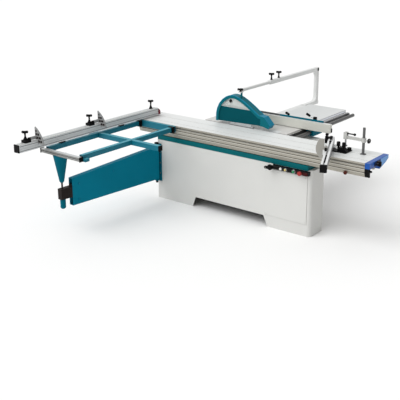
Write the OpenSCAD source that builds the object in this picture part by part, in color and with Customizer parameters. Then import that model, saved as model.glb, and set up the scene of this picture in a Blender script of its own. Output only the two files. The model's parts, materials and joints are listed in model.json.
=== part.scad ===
// Sliding table saw: fixed base, saw unit, sliding carriage with crosscut frame, rip fence and guard.
// Frame in mm: +X to the operator's end, +Y from the sliding table to the rip side, +Z up, floor at z = 0.
// The blade plane is y = 0 and the centre of the floor anchor pattern is the origin.

/* [Sliding table] */
// Length of the sliding table along X
table_length = 2800; // [2000:10:3800]
// Width of the sliding table from its outer face to the tip of the wing
table_width = 400; // [360:1:420]
// Height of the table surface over the floor
table_height = 880; // [820:1:920]
// How far the table stands off the middle of its rail towards the operator
table_shift = 142; // [-400:1:400]
// Depth of the outer skirt below the table surface
skirt_depth = 138; // [125:1:142]
// Radius of the balls between table and rail
ball_r = 8; // [6:0.5:9]
// Radius of the hardened rods that the balls run on
track_rod_r = 3; // [2:0.25:4]

/* [Base] */
// Length of the base under the sliding table
base_length = 1980; // [1600:10:2400]
// Depth of the base from front to back
base_depth = 240; // [200:5:300]
// Height of the painted base
base_height = 686; // [640:1:720]
// Height of the guide beam between base and rail
beam_height = 50; // [30:1:70]
// Wall of the sheet housings
sheet = 4; // [2:0.5:8]
// Half length of the saw housing behind the base
housing_half = 600; // [500:10:650]
// Back of the saw housing along Y
housing_back = 430; // [380:5:480]
// Spacing of the floor anchors along X
anchor_x = 1120; // [1040:10:1160]
// Spacing of the floor anchors along Y
anchor_y = 660; // [600:10:700]
// Radius of a floor anchor hole
anchor_r = 7; // [5:0.5:9]

/* [Saw unit] */
// Diameter of the main blade
blade_d = 315; // [250:5:350]
// Thickness of the main blade
blade_t = 3.2; // [2:0.2:4]
// Cutting height of the main blade at rest
cut_height = 70; // [20:1:80]
// Position of the main arbor along X
arbor_x = -110; // [-160:5:-60]
// Diameter of the scoring blade
scoring_d = 120; // [100:5:125]
// Position of the scoring arbor along X
scoring_x = 150; // [140:5:200]
// Outer radius of the dust spigot
spigot_r = 60; // [40:1:80]

/* [Crosscut frame] */
// Length of the crosscut fence along Y
fence_length = 1980; // [1500:5:2400]
// Width of the crosscut fence section
fence_w = 72; // [50:1:90]
// Height of the crosscut fence section
fence_h = 78; // [60:1:90]
// Length of the two frame tubes along Y
frame_length = 1345; // [1000:5:1500]
// Position of the far frame tube along X
tube_far_x = -1222; // [-1235:1:-1150]
// Position of the near frame tube along X
tube_near_x = -745; // [-900:5:-650]
// Angle of the support arm at rest from the line across the table
arm_angle = 3.83; // [0:0.01:8]

/* [Mitre fence and clamp] */
// Angle of the mitre fence at rest from the line across the table
mitre_angle = 24.5; // [0:0.5:45]
// Length of the mitre fence on the operator's side of its pivot
mitre_near = 780; // [500:5:900]
// Height of the hold-down column
column_h = 262; // [200:1:320]

/* [Tables, rip fence and guard] */
// Far end of the main table along X
main_x0 = -645; // [-700:5:-600]
// Operator's end of the main table along X
main_x1 = 435; // [400:5:500]
// Edge between main table and extension table along Y
main_y1 = 640; // [560:5:700]
// Outer edge of the extension table along Y
ext_y1 = 1395; // [1100:5:1500]
// Length of the rip fence
rip_length = 1030; // [800:5:1200]
// Height of the rip fence
rip_h = 94; // [60:1:120]
// Width of the blade guard
guard_w = 88; // [84:1:110]
// Height of the top of the guard arm
guard_arm_z = 1298; // [1290:1:1400]

/* [Hidden] */
$fn = 48;
zt = table_height;
front = -15 - table_width;
tx0 = table_shift - table_length/2;
tx1 = table_shift + table_length/2;
by0 = front + 5;
by1 = by0 + base_depth;
rail_bottom = base_height + beam_height;
half_base = base_length/2;
ball_u1 = 30.5;
ball_u2 = 188;
ball_v = -84;
lock_x = 1355;
lock_v = -124;
plate_depth = 50;
rod_off = (ball_r + track_rod_r + 0.3)*sin(45);
arbor_z = zt + cut_height - blade_d/2;
motor_x = 150;
motor_z = zt - 265;
arm_px = -972;
arm_py = -452;
arm_reach = 1318;
arm_end = 1214;
fence_x0 = tube_far_x - 28;
fence_z0 = zt + 16;
fence_y1 = front + 235;
fence_y0 = fence_y1 - fence_length;
stop_x = fence_x0 + fence_w/2 + 12;
stop_z = fence_z0 + fence_h + 30;
mitre_px = 1071;
mitre_py = front + 200;
mitre_z0 = zt + 12;
mitre_z1 = mitre_z0 + 68;
clamp_x = 1399;
clamp_y = front + 248;
clamp_z = zt + 140;
rip_y = 290;
rip_x1 = 780;
rip_z0 = zt + 6;
rail_x = 520;
rail_z = zt - 36;
ext_x1 = 395;
post_x = -155;
post_y = [1600, 1656];
hood_rod_y = 24;
guard_y0 = -20;
guard_y1 = guard_y0 + guard_w;
guard_rim = 32;
pane_z = 1075;
button_z = 664;

module bx(x, y, z) {
    translate([x[0], y[0], z[0]])
        cube([x[1] - x[0], y[1] - y[0], z[1] - z[0]]);
}

module rod_x(r, x, y, z) {
    translate([x[0], y, z])
        rotate([0, 90, 0])
            cylinder(r = r, h = x[1] - x[0]);
}

module rod_y(r, y, x, z) {
    translate([x, y[0], z])
        rotate([-90, 0, 0])
            cylinder(r = r, h = y[1] - y[0]);
}

module rod_z(r, z, x, y) {
    translate([x, y, z[0]])
        cylinder(r = r, h = z[1] - z[0]);
}

// Extrudes a section drawn in (Y, Z) along X
module along_x(x) {
    translate([x[0], 0, 0])
        rotate([90, 0, 90])
            linear_extrude(x[1] - x[0])
                children();
}

// Extrudes a section drawn in (X, Z) along Y
module along_y(y) {
    translate([0, y[1], 0])
        rotate([90, 0, 0])
            linear_extrude(y[1] - y[0])
                children();
}

module rect(u, v) {
    translate([u[0], v[0]])
        square([u[1] - u[0], v[1] - v[0]]);
}

// A tee knob with its stem standing on z
module tee_knob(x, y, z, h) {
    rod_z(7, [z, z + h], x, y);
    rod_y(9, [y - 28, y + 28], x, z + h);
}

// The lower line of the wing in (u, v) of the table section
function wing(t) = [222 + (table_width - 222)*t, -94*pow(1 - t, 2.2) - 5];

// Outline of the table box and wing, closed along the top
module table_outline() {
    polygon(concat([[0, 0], [0, -55], [213, -55], [213, -99]], [for (i = [0:10]) wing(i/10)],
        [[table_width, 0]]));
}

// Section of the sliding table in (u, v): u from the outer face, v from the surface
module table_section() {
    difference() {
        union() {
            table_outline();
            polygon([[0, -50], [7, -50], [8, -98], [22, -skirt_depth], [14, -skirt_depth], [0, -96]]);
            rect([7.5, ball_u1 - 6.5], [-100, -69]);
            rect([ball_u2 + 6.5, 222], [-99, -54]);
            rect([ball_u2 + 9, 222], [-111, -54]);
        }
        rect([10, 22], [-43, -9]);
        rect([-1, 11], [-36, -17]);
        for (v = [-58, -94])
            rect([-1, 3], [v, v + 5]);
        rect([68, 88], [-10, 1]);
        rect([58, 99], [-21, -8]);
        rect([27, 54], [-48, -8]);
        rect([27, 213], [-48, -26]);
        rect([103, 213], [-48, -8]);
        rect([230, 250], [-10, 1]);
        rect([220, 261], [-21, -8]);
        polygon(concat([[228, -26], [228, -80]], [for (i = [1:5]) wing(i/10) + [0, 8]], [[318, -8], [266, -8],
            [266, -26]]));
        translate([ball_u1, ball_v])
            circle(ball_r + 1.5);
        translate([ball_u2, ball_v])
            circle(ball_r + 1.5);
        for (s = [-1, 1]) {
            translate([ball_u1 - rod_off, ball_v + s*rod_off])
                circle(track_rod_r);
            translate([ball_u2 + rod_off, ball_v + s*rod_off])
                circle(track_rod_r);
        }
    }
}

// Section of the fixed rail in the same (u, v)
module rail_section() {
    difference() {
        union() {
            rect([ball_u1 + 6, ball_u2 - 6], [-104, -66]);
            rect([46, 172], [rail_bottom - zt, -100]);
            rect([34, 184], [rail_bottom - zt, rail_bottom - zt + 8]);
        }
        rect([52, 166], [-98, -74]);
        rect([52, 94], [-136, -104]);
        rect([126, 166], [-136, -104]);
        rect([102, 118], [rail_bottom - zt - 1, -135]);
        rect([98, 122], [-136, -122]);
        translate([ball_u1, ball_v])
            circle(ball_r + 1.5);
        translate([ball_u2, ball_v])
            circle(ball_r + 1.5);
        for (s = [-1, 1]) {
            translate([ball_u1 + rod_off, ball_v + s*rod_off])
                circle(track_rod_r);
            translate([ball_u2 - rod_off, ball_v + s*rod_off])
                circle(track_rod_r);
        }
    }
}

module at_table() {
    translate([0, front, zt])
        children();
}

module base_plan(grow) {
    difference() {
        rect([-half_base + grow, half_base - grow], [by0 + grow, by1 - grow]);
        translate([half_base - grow - 40, by0 + grow])
            square([41, 40]);
    }
    intersection() {
        translate([half_base - grow - 40, by0 + grow + 40])
            circle(40);
        rect([half_base - grow - 42, half_base - grow], [by0 + grow, by0 + grow + 41]);
    }
}

module base_cabinet() {
    color("gainsboro")
    difference() {
        linear_extrude(base_height)
            base_plan(0);
        translate([0, 0, 8])
            linear_extrude(base_height - 8 - sheet)
                base_plan(sheet);
        along_y([by0 - 1, by1 + 1])
            polygon([[-492, -1], [-452, 114], [438, 114], [490, -1]]);
        bx([-452, 438], [by1 - sheet - 1, by1 + 1], [100, base_height - sheet]);
        bx([-452, 438], [by0 + 201, by1 + 1], [base_height - sheet - 1, base_height + 1]);
        for (x = [-1, 1])
            rod_z(anchor_r, [-1, 12], x*anchor_x/2, -anchor_y/2);
    }
}

module front_panel() {
    color("whitesmoke")
    difference() {
        bx([457, 946], [by0 - 5, by0], [128, 628]);
        for (x = [475, 928], z = [146, 610])
            rod_y(3, [by0 - 6, by0 - 2], x, z);
    }
}

// The housing is lower at the operator's end, where the rip rail passes over it
module saw_cabinet() {
    top = zt - 44;
    step = zt - 100;
    color("gainsboro")
    difference() {
        union() {
            bx([-housing_half, housing_half], [by1, housing_back], [0, step]);
            bx([-housing_half, main_x1 - 5], [by1, housing_back], [step - 1, top]);
        }
        difference() {
            union() {
                bx([-housing_half + sheet, housing_half - sheet], [by1 - 1, housing_back - sheet],
                    [8, step - sheet]);
                bx([-housing_half + sheet, main_x1 - 5 - sheet], [by1 - 1, housing_back - sheet],
                    [8, top + 1]);
            }
            for (x = [[-housing_half, -460], [460, housing_half]])
                bx(x, [by1 - 1, by1 + sheet], [8, base_height]);
            for (x = [[-housing_half, -460], [460, housing_half]])
                bx(x, [by1 - 1, 13 + sheet], [base_height - sheet, base_height]);
        }
        bx([-452, 452], [by1 - 1, housing_back - 60], [-1, 9]);
        bx([-housing_half - 1, housing_half + 1], [by1 - 1, 13], [base_height, top + 1]);
        for (x = [-1, 1])
            rod_z(anchor_r, [-1, 12], x*anchor_x/2, anchor_y/2);
        rod_x(spigot_r - 4, [-housing_half - 1, -housing_half + sheet + 1], 160, 170);
    }
    color("gainsboro")
    dust_spigot();
}

// The spigot for the dust hose, welded to the far end of the saw housing
module dust_spigot() {
    difference() {
        union() {
            rod_x(spigot_r, [-housing_half - 70, -housing_half], 160, 170);
            rod_x(spigot_r + 18, [-housing_half - 5, -housing_half], 160, 170);
        }
        rod_x(spigot_r - 4, [-housing_half - 71, -housing_half + 1], 160, 170);
    }
}

module guide_beam() {
    x1 = half_base - 45;
    color("teal")
    difference() {
        bx([-half_base + 4, x1], [by0 - 2, by0 + 200], [base_height, rail_bottom]);
        bx([-half_base + 10, x1 - 6], [by0 + 4, by0 + 194], [base_height - 1, rail_bottom - 6]);
    }
}

module lower_rail() {
    color("lightgray")
    at_table()
        along_x([-half_base + 10, half_base + 6])
            rail_section();
}

module rail_rods() {
    color("silver")
    at_table()
        for (s = [-1, 1]) {
            rod_x(track_rod_r, [-half_base + 14, half_base + 2], ball_u1 + rod_off, ball_v + s*rod_off);
            rod_x(track_rod_r, [-half_base + 14, half_base + 2], ball_u2 - rod_off, ball_v + s*rod_off);
        }
}

module ball_cage() {
    color("goldenrod")
    at_table()
        for (u = [ball_u1, ball_u2]) {
            bx([-300, 300], [u - 1, u + 1], [ball_v - 9.5, ball_v + 9.5]);
            for (i = [-3:3])
                translate([i*90, u, ball_v])
                    rotate([90, 0, 0])
                        sphere(ball_r, $fn = 24);
        }
}

module carriage() {
    color("lightgray")
    at_table()
        difference() {
            along_x([tx0, tx1])
                table_section();
            rod_y(7.05, [-1, 26], lock_x, lock_v);
        }
}

module carriage_rods() {
    color("silver")
    at_table()
        for (s = [-1, 1]) {
            rod_x(track_rod_r, [tx0 + 8, tx1 - 8], ball_u1 - rod_off, ball_v + s*rod_off);
            rod_x(track_rod_r, [tx0 + 8, tx1 - 8], ball_u2 + rod_off, ball_v + s*rod_off);
        }
}

// Outline of the moulded plate on the operator's end of the table
module plate_outline() {
    polygon([[0, 0], [0, -55], [213, -55], [213, -99], [240, -94], [table_width - 60, -64], [table_width, -36],
        [table_width, 0]]);
}

module end_plate() {
    color("dodgerblue")
    at_table()
        difference() {
            along_x([tx1, tx1 + plate_depth])
                plate_outline();
            along_x([tx1 - 1, tx1 + plate_depth - 5])
                offset(delta = -5)
                    plate_outline();
        }
}

module end_caps() {
    color("black")
    at_table() {
        along_x([tx1, tx1 + plate_depth - 5])
            polygon([[0, -55.5], [30, -55.5], [30, -skirt_depth], [14, -skirt_depth], [0, -96]]);
        along_x([tx0 - 6, tx0])
            table_outline();
        rod_x(9, [tx1 + plate_depth - 5, tx1 + plate_depth + 17], 14, -76);
    }
    color("darkred")
    fence_caps();
}

module push_handle() {
    x0 = tx1 + plate_depth;
    color("darkslategray")
    at_table() {
        rod_z(11, [-52, -8], x0 + 32, 150);
        for (v = [-44, -16])
            rod_x(9, [x0, x0 + 34], 150, v);
    }
}

module lock_knob() {
    color("saddlebrown")
    at_table() {
        rod_y(17, [-22, -4], lock_x, lock_v);
        rod_y(7, [-4, 16], lock_x, lock_v);
    }
}

module frame_tubes() {
    y0 = front - 26 - frame_length;
    cross = [tube_far_x - 112, tube_near_x + 384];
    color("teal")
    difference() {
        union() {
            for (x = [tube_far_x, tube_near_x])
                bx([x - 20, x + 20], [y0, front - 26], [zt - 60, zt - 10]);
            bx([tube_far_x - 22, tube_near_x + 24], [front - 26, front], [zt - 74, zt - 4]);
            bx(cross, [front - 694, front - 646], [zt - 62, zt - 12]);
            bx([tube_near_x + 20, tube_near_x + 62], [y0, y0 + 52], [zt - 72, zt - 44]);
        }
        for (x = [tube_far_x, tube_near_x])
            bx([x - 17, x + 17], [y0 - 1, front - 30], [zt - 57, zt - 13]);
        bx([cross[0] - 1, cross[1] + 1], [front - 691, front - 649], [zt - 59, zt - 15]);
    }
}

module frame_clamps() {
    end_y = front - 26 - frame_length;
    color("black") {
        for (x = [tube_far_x, tube_near_x])
            difference() {
                bx([x - 28, x + 34], [front - 66, front - 26], [zt - 72, zt - 3]);
                bx([x - 20, x + 20], [front - 67, front - 25], [zt - 60, zt - 10]);
            }
        for (x = [tube_far_x - 124, tube_near_x + 384])
            bx([x, x + 12], [front - 696, front - 644], [zt - 64, zt - 10]);
        for (x = [tube_far_x - 58, tube_near_x + 22])
            bx([x, x + 8], [end_y - 46, end_y], [zt - 70, zt - 22]);
        for (y = [front - 330, front - 1180])
            bx([tube_far_x - 18, tube_far_x + 18], [y - 30, y + 30], [zt - 10, fence_z0]);
        for (y = [front - 30 - frame_length*0.42, front - 1280])
            rod_z(9, [zt - 100, zt - 60], tube_far_x, y);
        tee_knob(fence_x0 + fence_w/2, fence_y1 - 85, fence_z0 + fence_h, 90);
    }
}

module end_bar() {
    y1 = front - 26 - frame_length;
    x = [tube_far_x - 50, tube_near_x + 22];
    color("lightgray")
    difference() {
        bx(x, [y1 - 42, y1], [zt - 66, zt - 26]);
        bx([x[0] - 1, x[1] + 1], [y1 - 32, y1 - 4], [zt - 62, zt - 30]);
        bx([x[0] - 1, x[1] + 1], [y1 - 43, y1 - 30], [zt - 50, zt - 42]);
    }
}

// The support arm is drawn from its pivot along -Y and then turned to its rest angle
module at_arm() {
    translate([arm_px, arm_py, 0])
        rotate([0, 0, -arm_angle])
            children();
}

module support_cone() {
    tip = 524;
    shoulder = tip + 14;
    top = zt - 74;
    color("teal")
    at_arm()
        translate([0, -arm_reach, 0]) {
            difference() {
                union() {
                    translate([0, 0, tip])
                        cylinder(r1 = 14, r2 = 24, h = shoulder - tip);
                    translate([0, 0, shoulder])
                        cylinder(r1 = 24, r2 = 72, h = top - shoulder);
                }
                translate([0, 0, shoulder + 6])
                    cylinder(r1 = 20, r2 = 68, h = top - shoulder - 5);
            }
            rod_z(74, [top, top + 8], 0, 0);
        }
}

module hinge_bracket() {
    color("dimgray") {
        bx([arm_px - 18, arm_px + 40], [by0 - 12, by0], [206, 640]);
        for (z = [216, 606]) {
            difference() {
                union() {
                    bx([arm_px - 18, arm_px + 20], [arm_py, by0 - 12], [z, z + 18]);
                    rod_z(24, [z, z + 18], arm_px, arm_py);
                }
                rod_z(12, [z - 1, z + 19], arm_px, arm_py);
            }
        }
        rod_z(12, [208, 640], arm_px, arm_py);
        rod_z(18, [640, 654], arm_px, arm_py);
    }
}

module swing_arm() {
    color("teal")
    at_arm()
        difference() {
            union() {
                along_x([-28, 28])
                    polygon([[0, 240], [0, 600], [-34, 600], [-60, 616], [-arm_end, 545], [-arm_end, 258],
                        [-60, 238]]);
                rod_z(26, [240, 600], 0, 0);
            }
            along_x([-24, 24])
                polygon([[-90, 246], [-90, 606], [-arm_end - 1, 541], [-arm_end - 1, 262]]);
            rod_z(12.05, [230, 620], 0, 0);
        }
}

module arm_tube() {
    foot_z = 252;
    block_z = [352, 462];
    color("dimgray")
    at_arm() {
        difference() {
            bx([-23.5, 23.5], [-arm_end - 4, -300], [340, 480]);
            bx([-19, 19], [-arm_end + 5, -299], [345, 475]);
        }
        bx([-30, 30], [-arm_reach - 34, -arm_end - 2], block_z);
        rod_z(9, [block_z[1], 519], 0, -arm_reach);
        rod_z(27, [foot_z + 12, block_z[0]], 0, -arm_reach);
        translate([0, -arm_reach, foot_z])
            cylinder(r1 = 17, r2 = 27, h = 12);
    }
}

module fence_section() {
    w = fence_w;
    h = fence_h;
    difference() {
        square([w, h]);
        rect([5, w - 5], [18, h - 18]);
        rect([5, w - 5], [5, 14]);
        rect([w/2 - 6, w/2 + 6], [h - 5, h + 1]);
        rect([w/2 - 13, w/2 + 13], [h - 14, h - 4]);
        for (u = [-1, w - 4])
            rect([u, u + 5], [32, 44]);
    }
}

module crosscut_fence() {
    color("silver")
    translate([fence_x0, 0, fence_z0])
        along_y([fence_y0, fence_y1])
            fence_section();
}

// The plastic caps of the crosscut fence
module fence_caps() {
    translate([fence_x0, 0, fence_z0]) {
        bx([0, fence_w], [fence_y0 - 10, fence_y0], [0, fence_h]);
        intersection() {
            bx([0, fence_w], [fence_y1, fence_y1 + 40], [0, fence_h]);
            rod_x(fence_h - 2, [0, fence_w], fence_y1 - 30, 0);
        }
    }
}

// A flip stop block with its tee knob and hinge pin, placed by y
module stop_block(y) {
    z0 = fence_z0 + fence_h;
    bx([fence_x0 + 4, fence_x0 + fence_w - 4], [y - 8, y + 60], [z0, z0 + 26]);
    bx([stop_x - 13, stop_x + 13], [y + 44, y + 60], [z0 + 26, stop_z + 13]);
    rod_y(8, [y + 60, y + 156], stop_x, stop_z);
    rod_y(13, [y + 156, y + 164], stop_x, stop_z);
    tee_knob(fence_x0 + fence_w/2 - 8, y + 24, z0 + 26, 76);
}

// The curved fin of a flip stop, hinged round its pin
module stop_fin(y) {
    difference() {
        union() {
            rod_y(16, [y + 64, y + 152], stop_x, stop_z);
            along_y([y + 132, y + 144])
                intersection() {
                    translate([stop_x - 130, fence_z0])
                        circle(245);
                    union() {
                        rect([stop_x - 6, stop_x + 115], [stop_z - 20, stop_z + 130]);
                        rect([stop_x + 32, stop_x + 115], [fence_z0 + 46, stop_z]);
                    }
                }
        }
        rod_y(8.05, [y + 50, y + 170], stop_x, stop_z);
    }
}

module stop_block_1() {
    color("black")
    stop_block(fence_y0 + 87);
}

module stop_fin_1() {
    color("gray")
    stop_fin(fence_y0 + 87);
}

module stop_block_2() {
    color("black")
    stop_block(fence_y0 + 925);
}

module stop_fin_2() {
    color("gray")
    stop_fin(fence_y0 + 925);
}

module at_mitre() {
    translate([mitre_px, mitre_py, 0])
        rotate([0, 0, mitre_angle])
            children();
}

module mitre_base() {
    color("black") {
        translate([mitre_px, mitre_py, zt])
            cylinder(r = 62, h = 11.5);
        bx([mitre_px, mitre_px + 190], [mitre_py - 42, mitre_py + 30], [zt, zt + 11.5]);
        bx([mitre_px + 150, mitre_px + 190], [mitre_py + 30, mitre_py + 92], [zt, zt + 11.5]);
        rod_z(12, [zt + 11.5, mitre_z1 + 6], mitre_px, mitre_py);
        for (x = [92, 150]) {
            rod_z(9, [zt + 11.5, zt + 80], mitre_px + x, mitre_py - 6);
            rod_z(15, [zt + 70, zt + 96], mitre_px + x, mitre_py - 6);
        }
        rod_z(20, [zt + 11.5, zt + 34], mitre_px + 170, mitre_py + 72);
    }
}

module mitre_fence() {
    color("silver")
    at_mitre()
        difference() {
            bx([-45, 45], [-mitre_near, 185], [mitre_z0, mitre_z1]);
            bx([-40, -15], [-mitre_near + 12, 186], [mitre_z0 + 5, mitre_z1 - 5]);
            bx([15, 40], [-mitre_near + 12, 186], [mitre_z0 + 5, mitre_z1 - 5]);
            bx([-6, 6], [-mitre_near + 12, -30], [mitre_z1 - 20, mitre_z1 + 1]);
            bx([-11, 11], [-mitre_near + 12, -30], [mitre_z1 - 20, mitre_z1 - 6]);
            rod_z(12.05, [mitre_z0 - 1, mitre_z1 + 1], 0, 0);
        }
    color("black")
    at_mitre() {
        rod_y(8, [-342, -268], -20, mitre_z1 + 20);
        for (y = [-344, -276])
            bx([-34, -8], [y, y + 10], [mitre_z1, mitre_z1 + 33]);
    }
}

module mitre_lever() {
    color("black")
    at_mitre() {
        rod_z(14, [mitre_z1, mitre_z1 + 22], 0, 130);
        bx([-8, 8], [58, 130], [mitre_z1 + 12, mitre_z1 + 22]);
        rod_z(11, [mitre_z1 + 10, mitre_z1 + 34], 0, 58);
    }
}

// The flip stop of the mitre fence, with its fin on the blade side
module mitre_stop() {
    hz = mitre_z1 + 20;
    color("gray")
    at_mitre() {
        difference() {
            rod_y(16, [-330, -280], -20, hz);
            rod_y(8.05, [-331, -279], -20, hz);
        }
        along_y([-312, -300])
            difference() {
                intersection() {
                    translate([18, zt + 97])
                        circle(130);
                    union() {
                        rect([-112, -35], [hz, zt + 190]);
                        rect([-112, -48], [zt + 3, hz]);
                        rect([-60, -12], [hz - 14, hz + 14]);
                    }
                }
                translate([-20, hz])
                    circle(8.05);
            }
    }
}

module clamp_column() {
    color("silver") {
        rod_z(13, [zt + 8, zt + column_h], clamp_x, clamp_y);
        bx([clamp_x - 24, clamp_x + 24], [clamp_y - 20, clamp_y + 20], [zt, zt + 8]);
    }
}

module clamp_arm() {
    color("silver") {
        difference() {
            union() {
                rod_z(22, [clamp_z - 20, clamp_z + 22], clamp_x, clamp_y);
                bx([clamp_x - 190, clamp_x - 10], [clamp_y - 11, clamp_y + 11], [clamp_z - 14, clamp_z + 14]);
                bx([clamp_x - 206, clamp_x - 172], [clamp_y - 19, clamp_y + 19], [clamp_z - 18, clamp_z + 50]);
            }
            rod_z(13.05, [clamp_z - 21, clamp_z + 23], clamp_x, clamp_y);
            rod_z(9.05, [clamp_z - 19, clamp_z + 20], clamp_x - 189, clamp_y);
            bx([clamp_x - 207, clamp_x - 171], [clamp_y - 9, clamp_y + 9], [clamp_z + 18, clamp_z + 51]);
        }
        rod_x(7, [clamp_x + 20, clamp_x + 48], clamp_y, clamp_z);
        rod_x(20, [clamp_x + 46, clamp_x + 64], clamp_y, clamp_z);
        rod_y(5, [clamp_y - 19, clamp_y + 19], clamp_x - 189, clamp_z + 38);
    }
}

module clamp_lever() {
    color("black") {
        difference() {
            union() {
                rod_y(11, [clamp_y - 7.5, clamp_y + 7.5], clamp_x - 189, clamp_z + 38);
                bx([clamp_x - 189, clamp_x - 100], [clamp_y - 5, clamp_y + 5], [clamp_z + 33, clamp_z + 43]);
            }
            rod_y(5.05, [clamp_y - 20, clamp_y + 20], clamp_x - 189, clamp_z + 38);
        }
        translate([clamp_x - 96, clamp_y, clamp_z + 38])
            sphere(13, $fn = 32);
    }
}

module clamp_spindle() {
    color("dimgray") {
        rod_z(9, [clamp_z - 76, clamp_z + 14], clamp_x - 189, clamp_y);
        rod_z(17, [clamp_z - 88, clamp_z - 76], clamp_x - 189, clamp_y);
    }
}

module main_table() {
    y0 = 12;
    color("darkgray")
    difference() {
        bx([main_x0, main_x1], [y0, main_y1], [zt - 44, zt]);
        bx([main_x0 + 18, -440], [y0 + 18, main_y1 - 18], [zt - 45, zt - 15]);
        bx([-416, 336], [y0 - 1, main_y1 - 18], [zt - 45, zt - 15]);
        bx([360, main_x1 - 18], [y0 + 18, main_y1 - 18], [zt - 45, zt - 15]);
        bx([-415, 330], [y0 - 1, 84], [zt - 16, zt + 1]);
        for (x = [-440, 336])
            bx([x, x + 24], [y0 - 1, 96], [zt - 45, zt - 15]);
    }
}

module table_insert() {
    color("lightgray")
    bx([-415, 330], [12, 84], [zt - 10, zt]);
}

// A ring sector about the tilt axis in (Y, Z), from angle a0 to -30 degrees, below the table
module crescent(r0, r1, a0) {
    translate([0, zt])
        difference() {
            intersection() {
                circle(r1, $fn = 96);
                polygon(concat([[0, 0]], [for (a = [-30, -70, a0]) [cos(a), sin(a)]*r1*1.5]));
            }
            circle(r0, $fn = 96);
        }
}

module trunnion_brackets() {
    color("dimgray")
    for (x = [-436, 338]) {
        along_x([x, x + 16])
            crescent(120.05, 150, -150);
        bx([x, x + 16], [110, 164], [zt - 110, zt - 44]);
    }
}

module tilt_frame() {
    color("slategray") {
        for (x = [-436, 326])
            along_x([x, x + 30])
                crescent(80, 120, -105);
        for (x = [-416, 322])
            along_x([x, x + 14])
                polygon([[-20, zt - 118], [60, zt - 100], [112, zt - 100], [112, zt - 450], [84, zt - 450]]);
        bx([-402, -172], [84, 112], [zt - 132, zt - 110]);
        bx([-48, 322], [84, 112], [zt - 132, zt - 110]);
        bx([-402, 322], [84, 112], [zt - 450, zt - 430]);
        for (x = [-260, -20])
            rod_z(14, [zt - 430, zt - 132], x, 98);
        scoring_housing();
    }
}

module arbor_carrier() {
    color("slategray")
    difference() {
        union() {
            bx([-286, 6], [80, 116], [zt - 330, zt - 160]);
            bx([-160, -60], [80, 116], [zt - 161, arbor_z]);
            rod_y(36, [72, 116], arbor_x, arbor_z);
            bx([6, 76], [80, 116], [zt - 330, zt - 200]);
            bx([76, 224], [116, 128], [motor_z - 74, motor_z + 74]);
            bx([40, 100], [104, 128], [zt - 330, zt - 200]);
        }
        rod_y(17.05, [-1, 130], arbor_x, arbor_z);
        for (x = [-260, -20])
            rod_z(14.05, [zt - 331, zt - 159], x, 98);
        bx([-150, -70], [83, 117], [zt - 320, zt - 180]);
        rod_y(22, [90, 140], motor_x, motor_z);
    }
}

module main_motor() {
    color("steelblue") {
        difference() {
            rod_y(70, [128, 390], motor_x, motor_z);
            rod_y(14.05, [127, 240], motor_x, motor_z);
        }
        bx([motor_x - 40, motor_x + 40], [180, 300], [motor_z + 60, motor_z + 96]);
    }
}

// Straight-sided loop round two pulleys, drawn in (X, Z); grow is the rise over the pulleys
module loop(r1, r2, grow) {
    dx = motor_x - arbor_x;
    dz = motor_z - arbor_z;
    d = norm([dx, dz]);
    a = acos((r1 - r2)/d);
    b = atan2(dz, dx);
    p = [for (s = [1, -1]) [cos(b + s*a), sin(b + s*a)]];
    c1 = [arbor_x, arbor_z];
    c2 = [motor_x, motor_z];
    translate(c1)
        circle(r1 + grow);
    translate(c2)
        circle(r2 + grow);
    polygon([c1 + p[0]*(r1 + grow), c2 + p[0]*(r2 + grow), c2 + p[1]*(r2 + grow), c1 + p[1]*(r1 + grow)]);
}

module drive_belt() {
    color("black")
    along_y([44.5, 61.5])
        difference() {
            loop(32, 46, 6);
            loop(32, 46, 0.4);
        }
}

module main_arbor() {
    color("silver") {
        difference() {
            rod_y(17, [-14, 134], arbor_x, arbor_z);
            rod_y(8, [-15, -12], arbor_x, arbor_z);
        }
        rod_y(45, [2, 10], arbor_x, arbor_z);
        rod_y(32, [44, 62], arbor_x, arbor_z);
        rod_y(36, [40, 44], arbor_x, arbor_z);
        rod_y(36, [62, 66], arbor_x, arbor_z);
        difference() {
            rod_y(36, [-12, -1.6], arbor_x, arbor_z);
            rod_y(17, [-13, -1], arbor_x, arbor_z);
        }
    }
}

module main_blade() {
    teeth = 24;
    color("lightsteelblue")
    difference() {
        rod_y(blade_d/2, [-blade_t/2, blade_t/2], arbor_x, arbor_z);
        rod_y(17, [-5, 5], arbor_x, arbor_z);
        for (i = [0:teeth - 1])
            translate([arbor_x, 0, arbor_z])
                rotate([0, i*360/teeth, 0])
                    bx([-4, 4], [-5, 5], [blade_d/2 - 7, blade_d/2 + 5]);
    }
}

module riving_knife() {
    color("gray")
    difference() {
        along_y([-1.2, 1.2])
            intersection() {
                difference() {
                    translate([arbor_x, arbor_z])
                        circle(blade_d/2 + 46);
                    translate([arbor_x, arbor_z])
                        circle(blade_d/2 + 4);
                }
                rect([arbor_x - 260, arbor_x - 60], [arbor_z - 110, zt + cut_height - 14]);
            }
        rod_y(6, [-3, 3], arbor_x - 180, arbor_z - 60);
    }
    color("gray") {
        bx([arbor_x - 206, arbor_x - 165], [1.2, 80], [arbor_z - 106, arbor_z - 82]);
        bx([arbor_x - 206, arbor_x - 176], [80, 116], [arbor_z - 106, zt - 165]);
    }
}

module motor_pulley() {
    color("silver") {
        rod_y(14, [30, 236], motor_x, motor_z);
        rod_y(46, [44, 62], motor_x, motor_z);
        rod_y(50, [40, 44], motor_x, motor_z);
        rod_y(50, [62, 66], motor_x, motor_z);
    }
}

// The housing of the scoring arbor, fixed to the tilt frame
module scoring_housing() {
    sz = zt - scoring_d/2 + 2;
    difference() {
        union() {
            rod_y(24, [14, 200], scoring_x + 40, sz - 8);
            bx([scoring_x + 10, 322], [84, 112], [zt - 110, sz - 8]);
        }
        rod_y(10.05, [13, 60], scoring_x + 40, sz - 8);
    }
}

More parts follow.
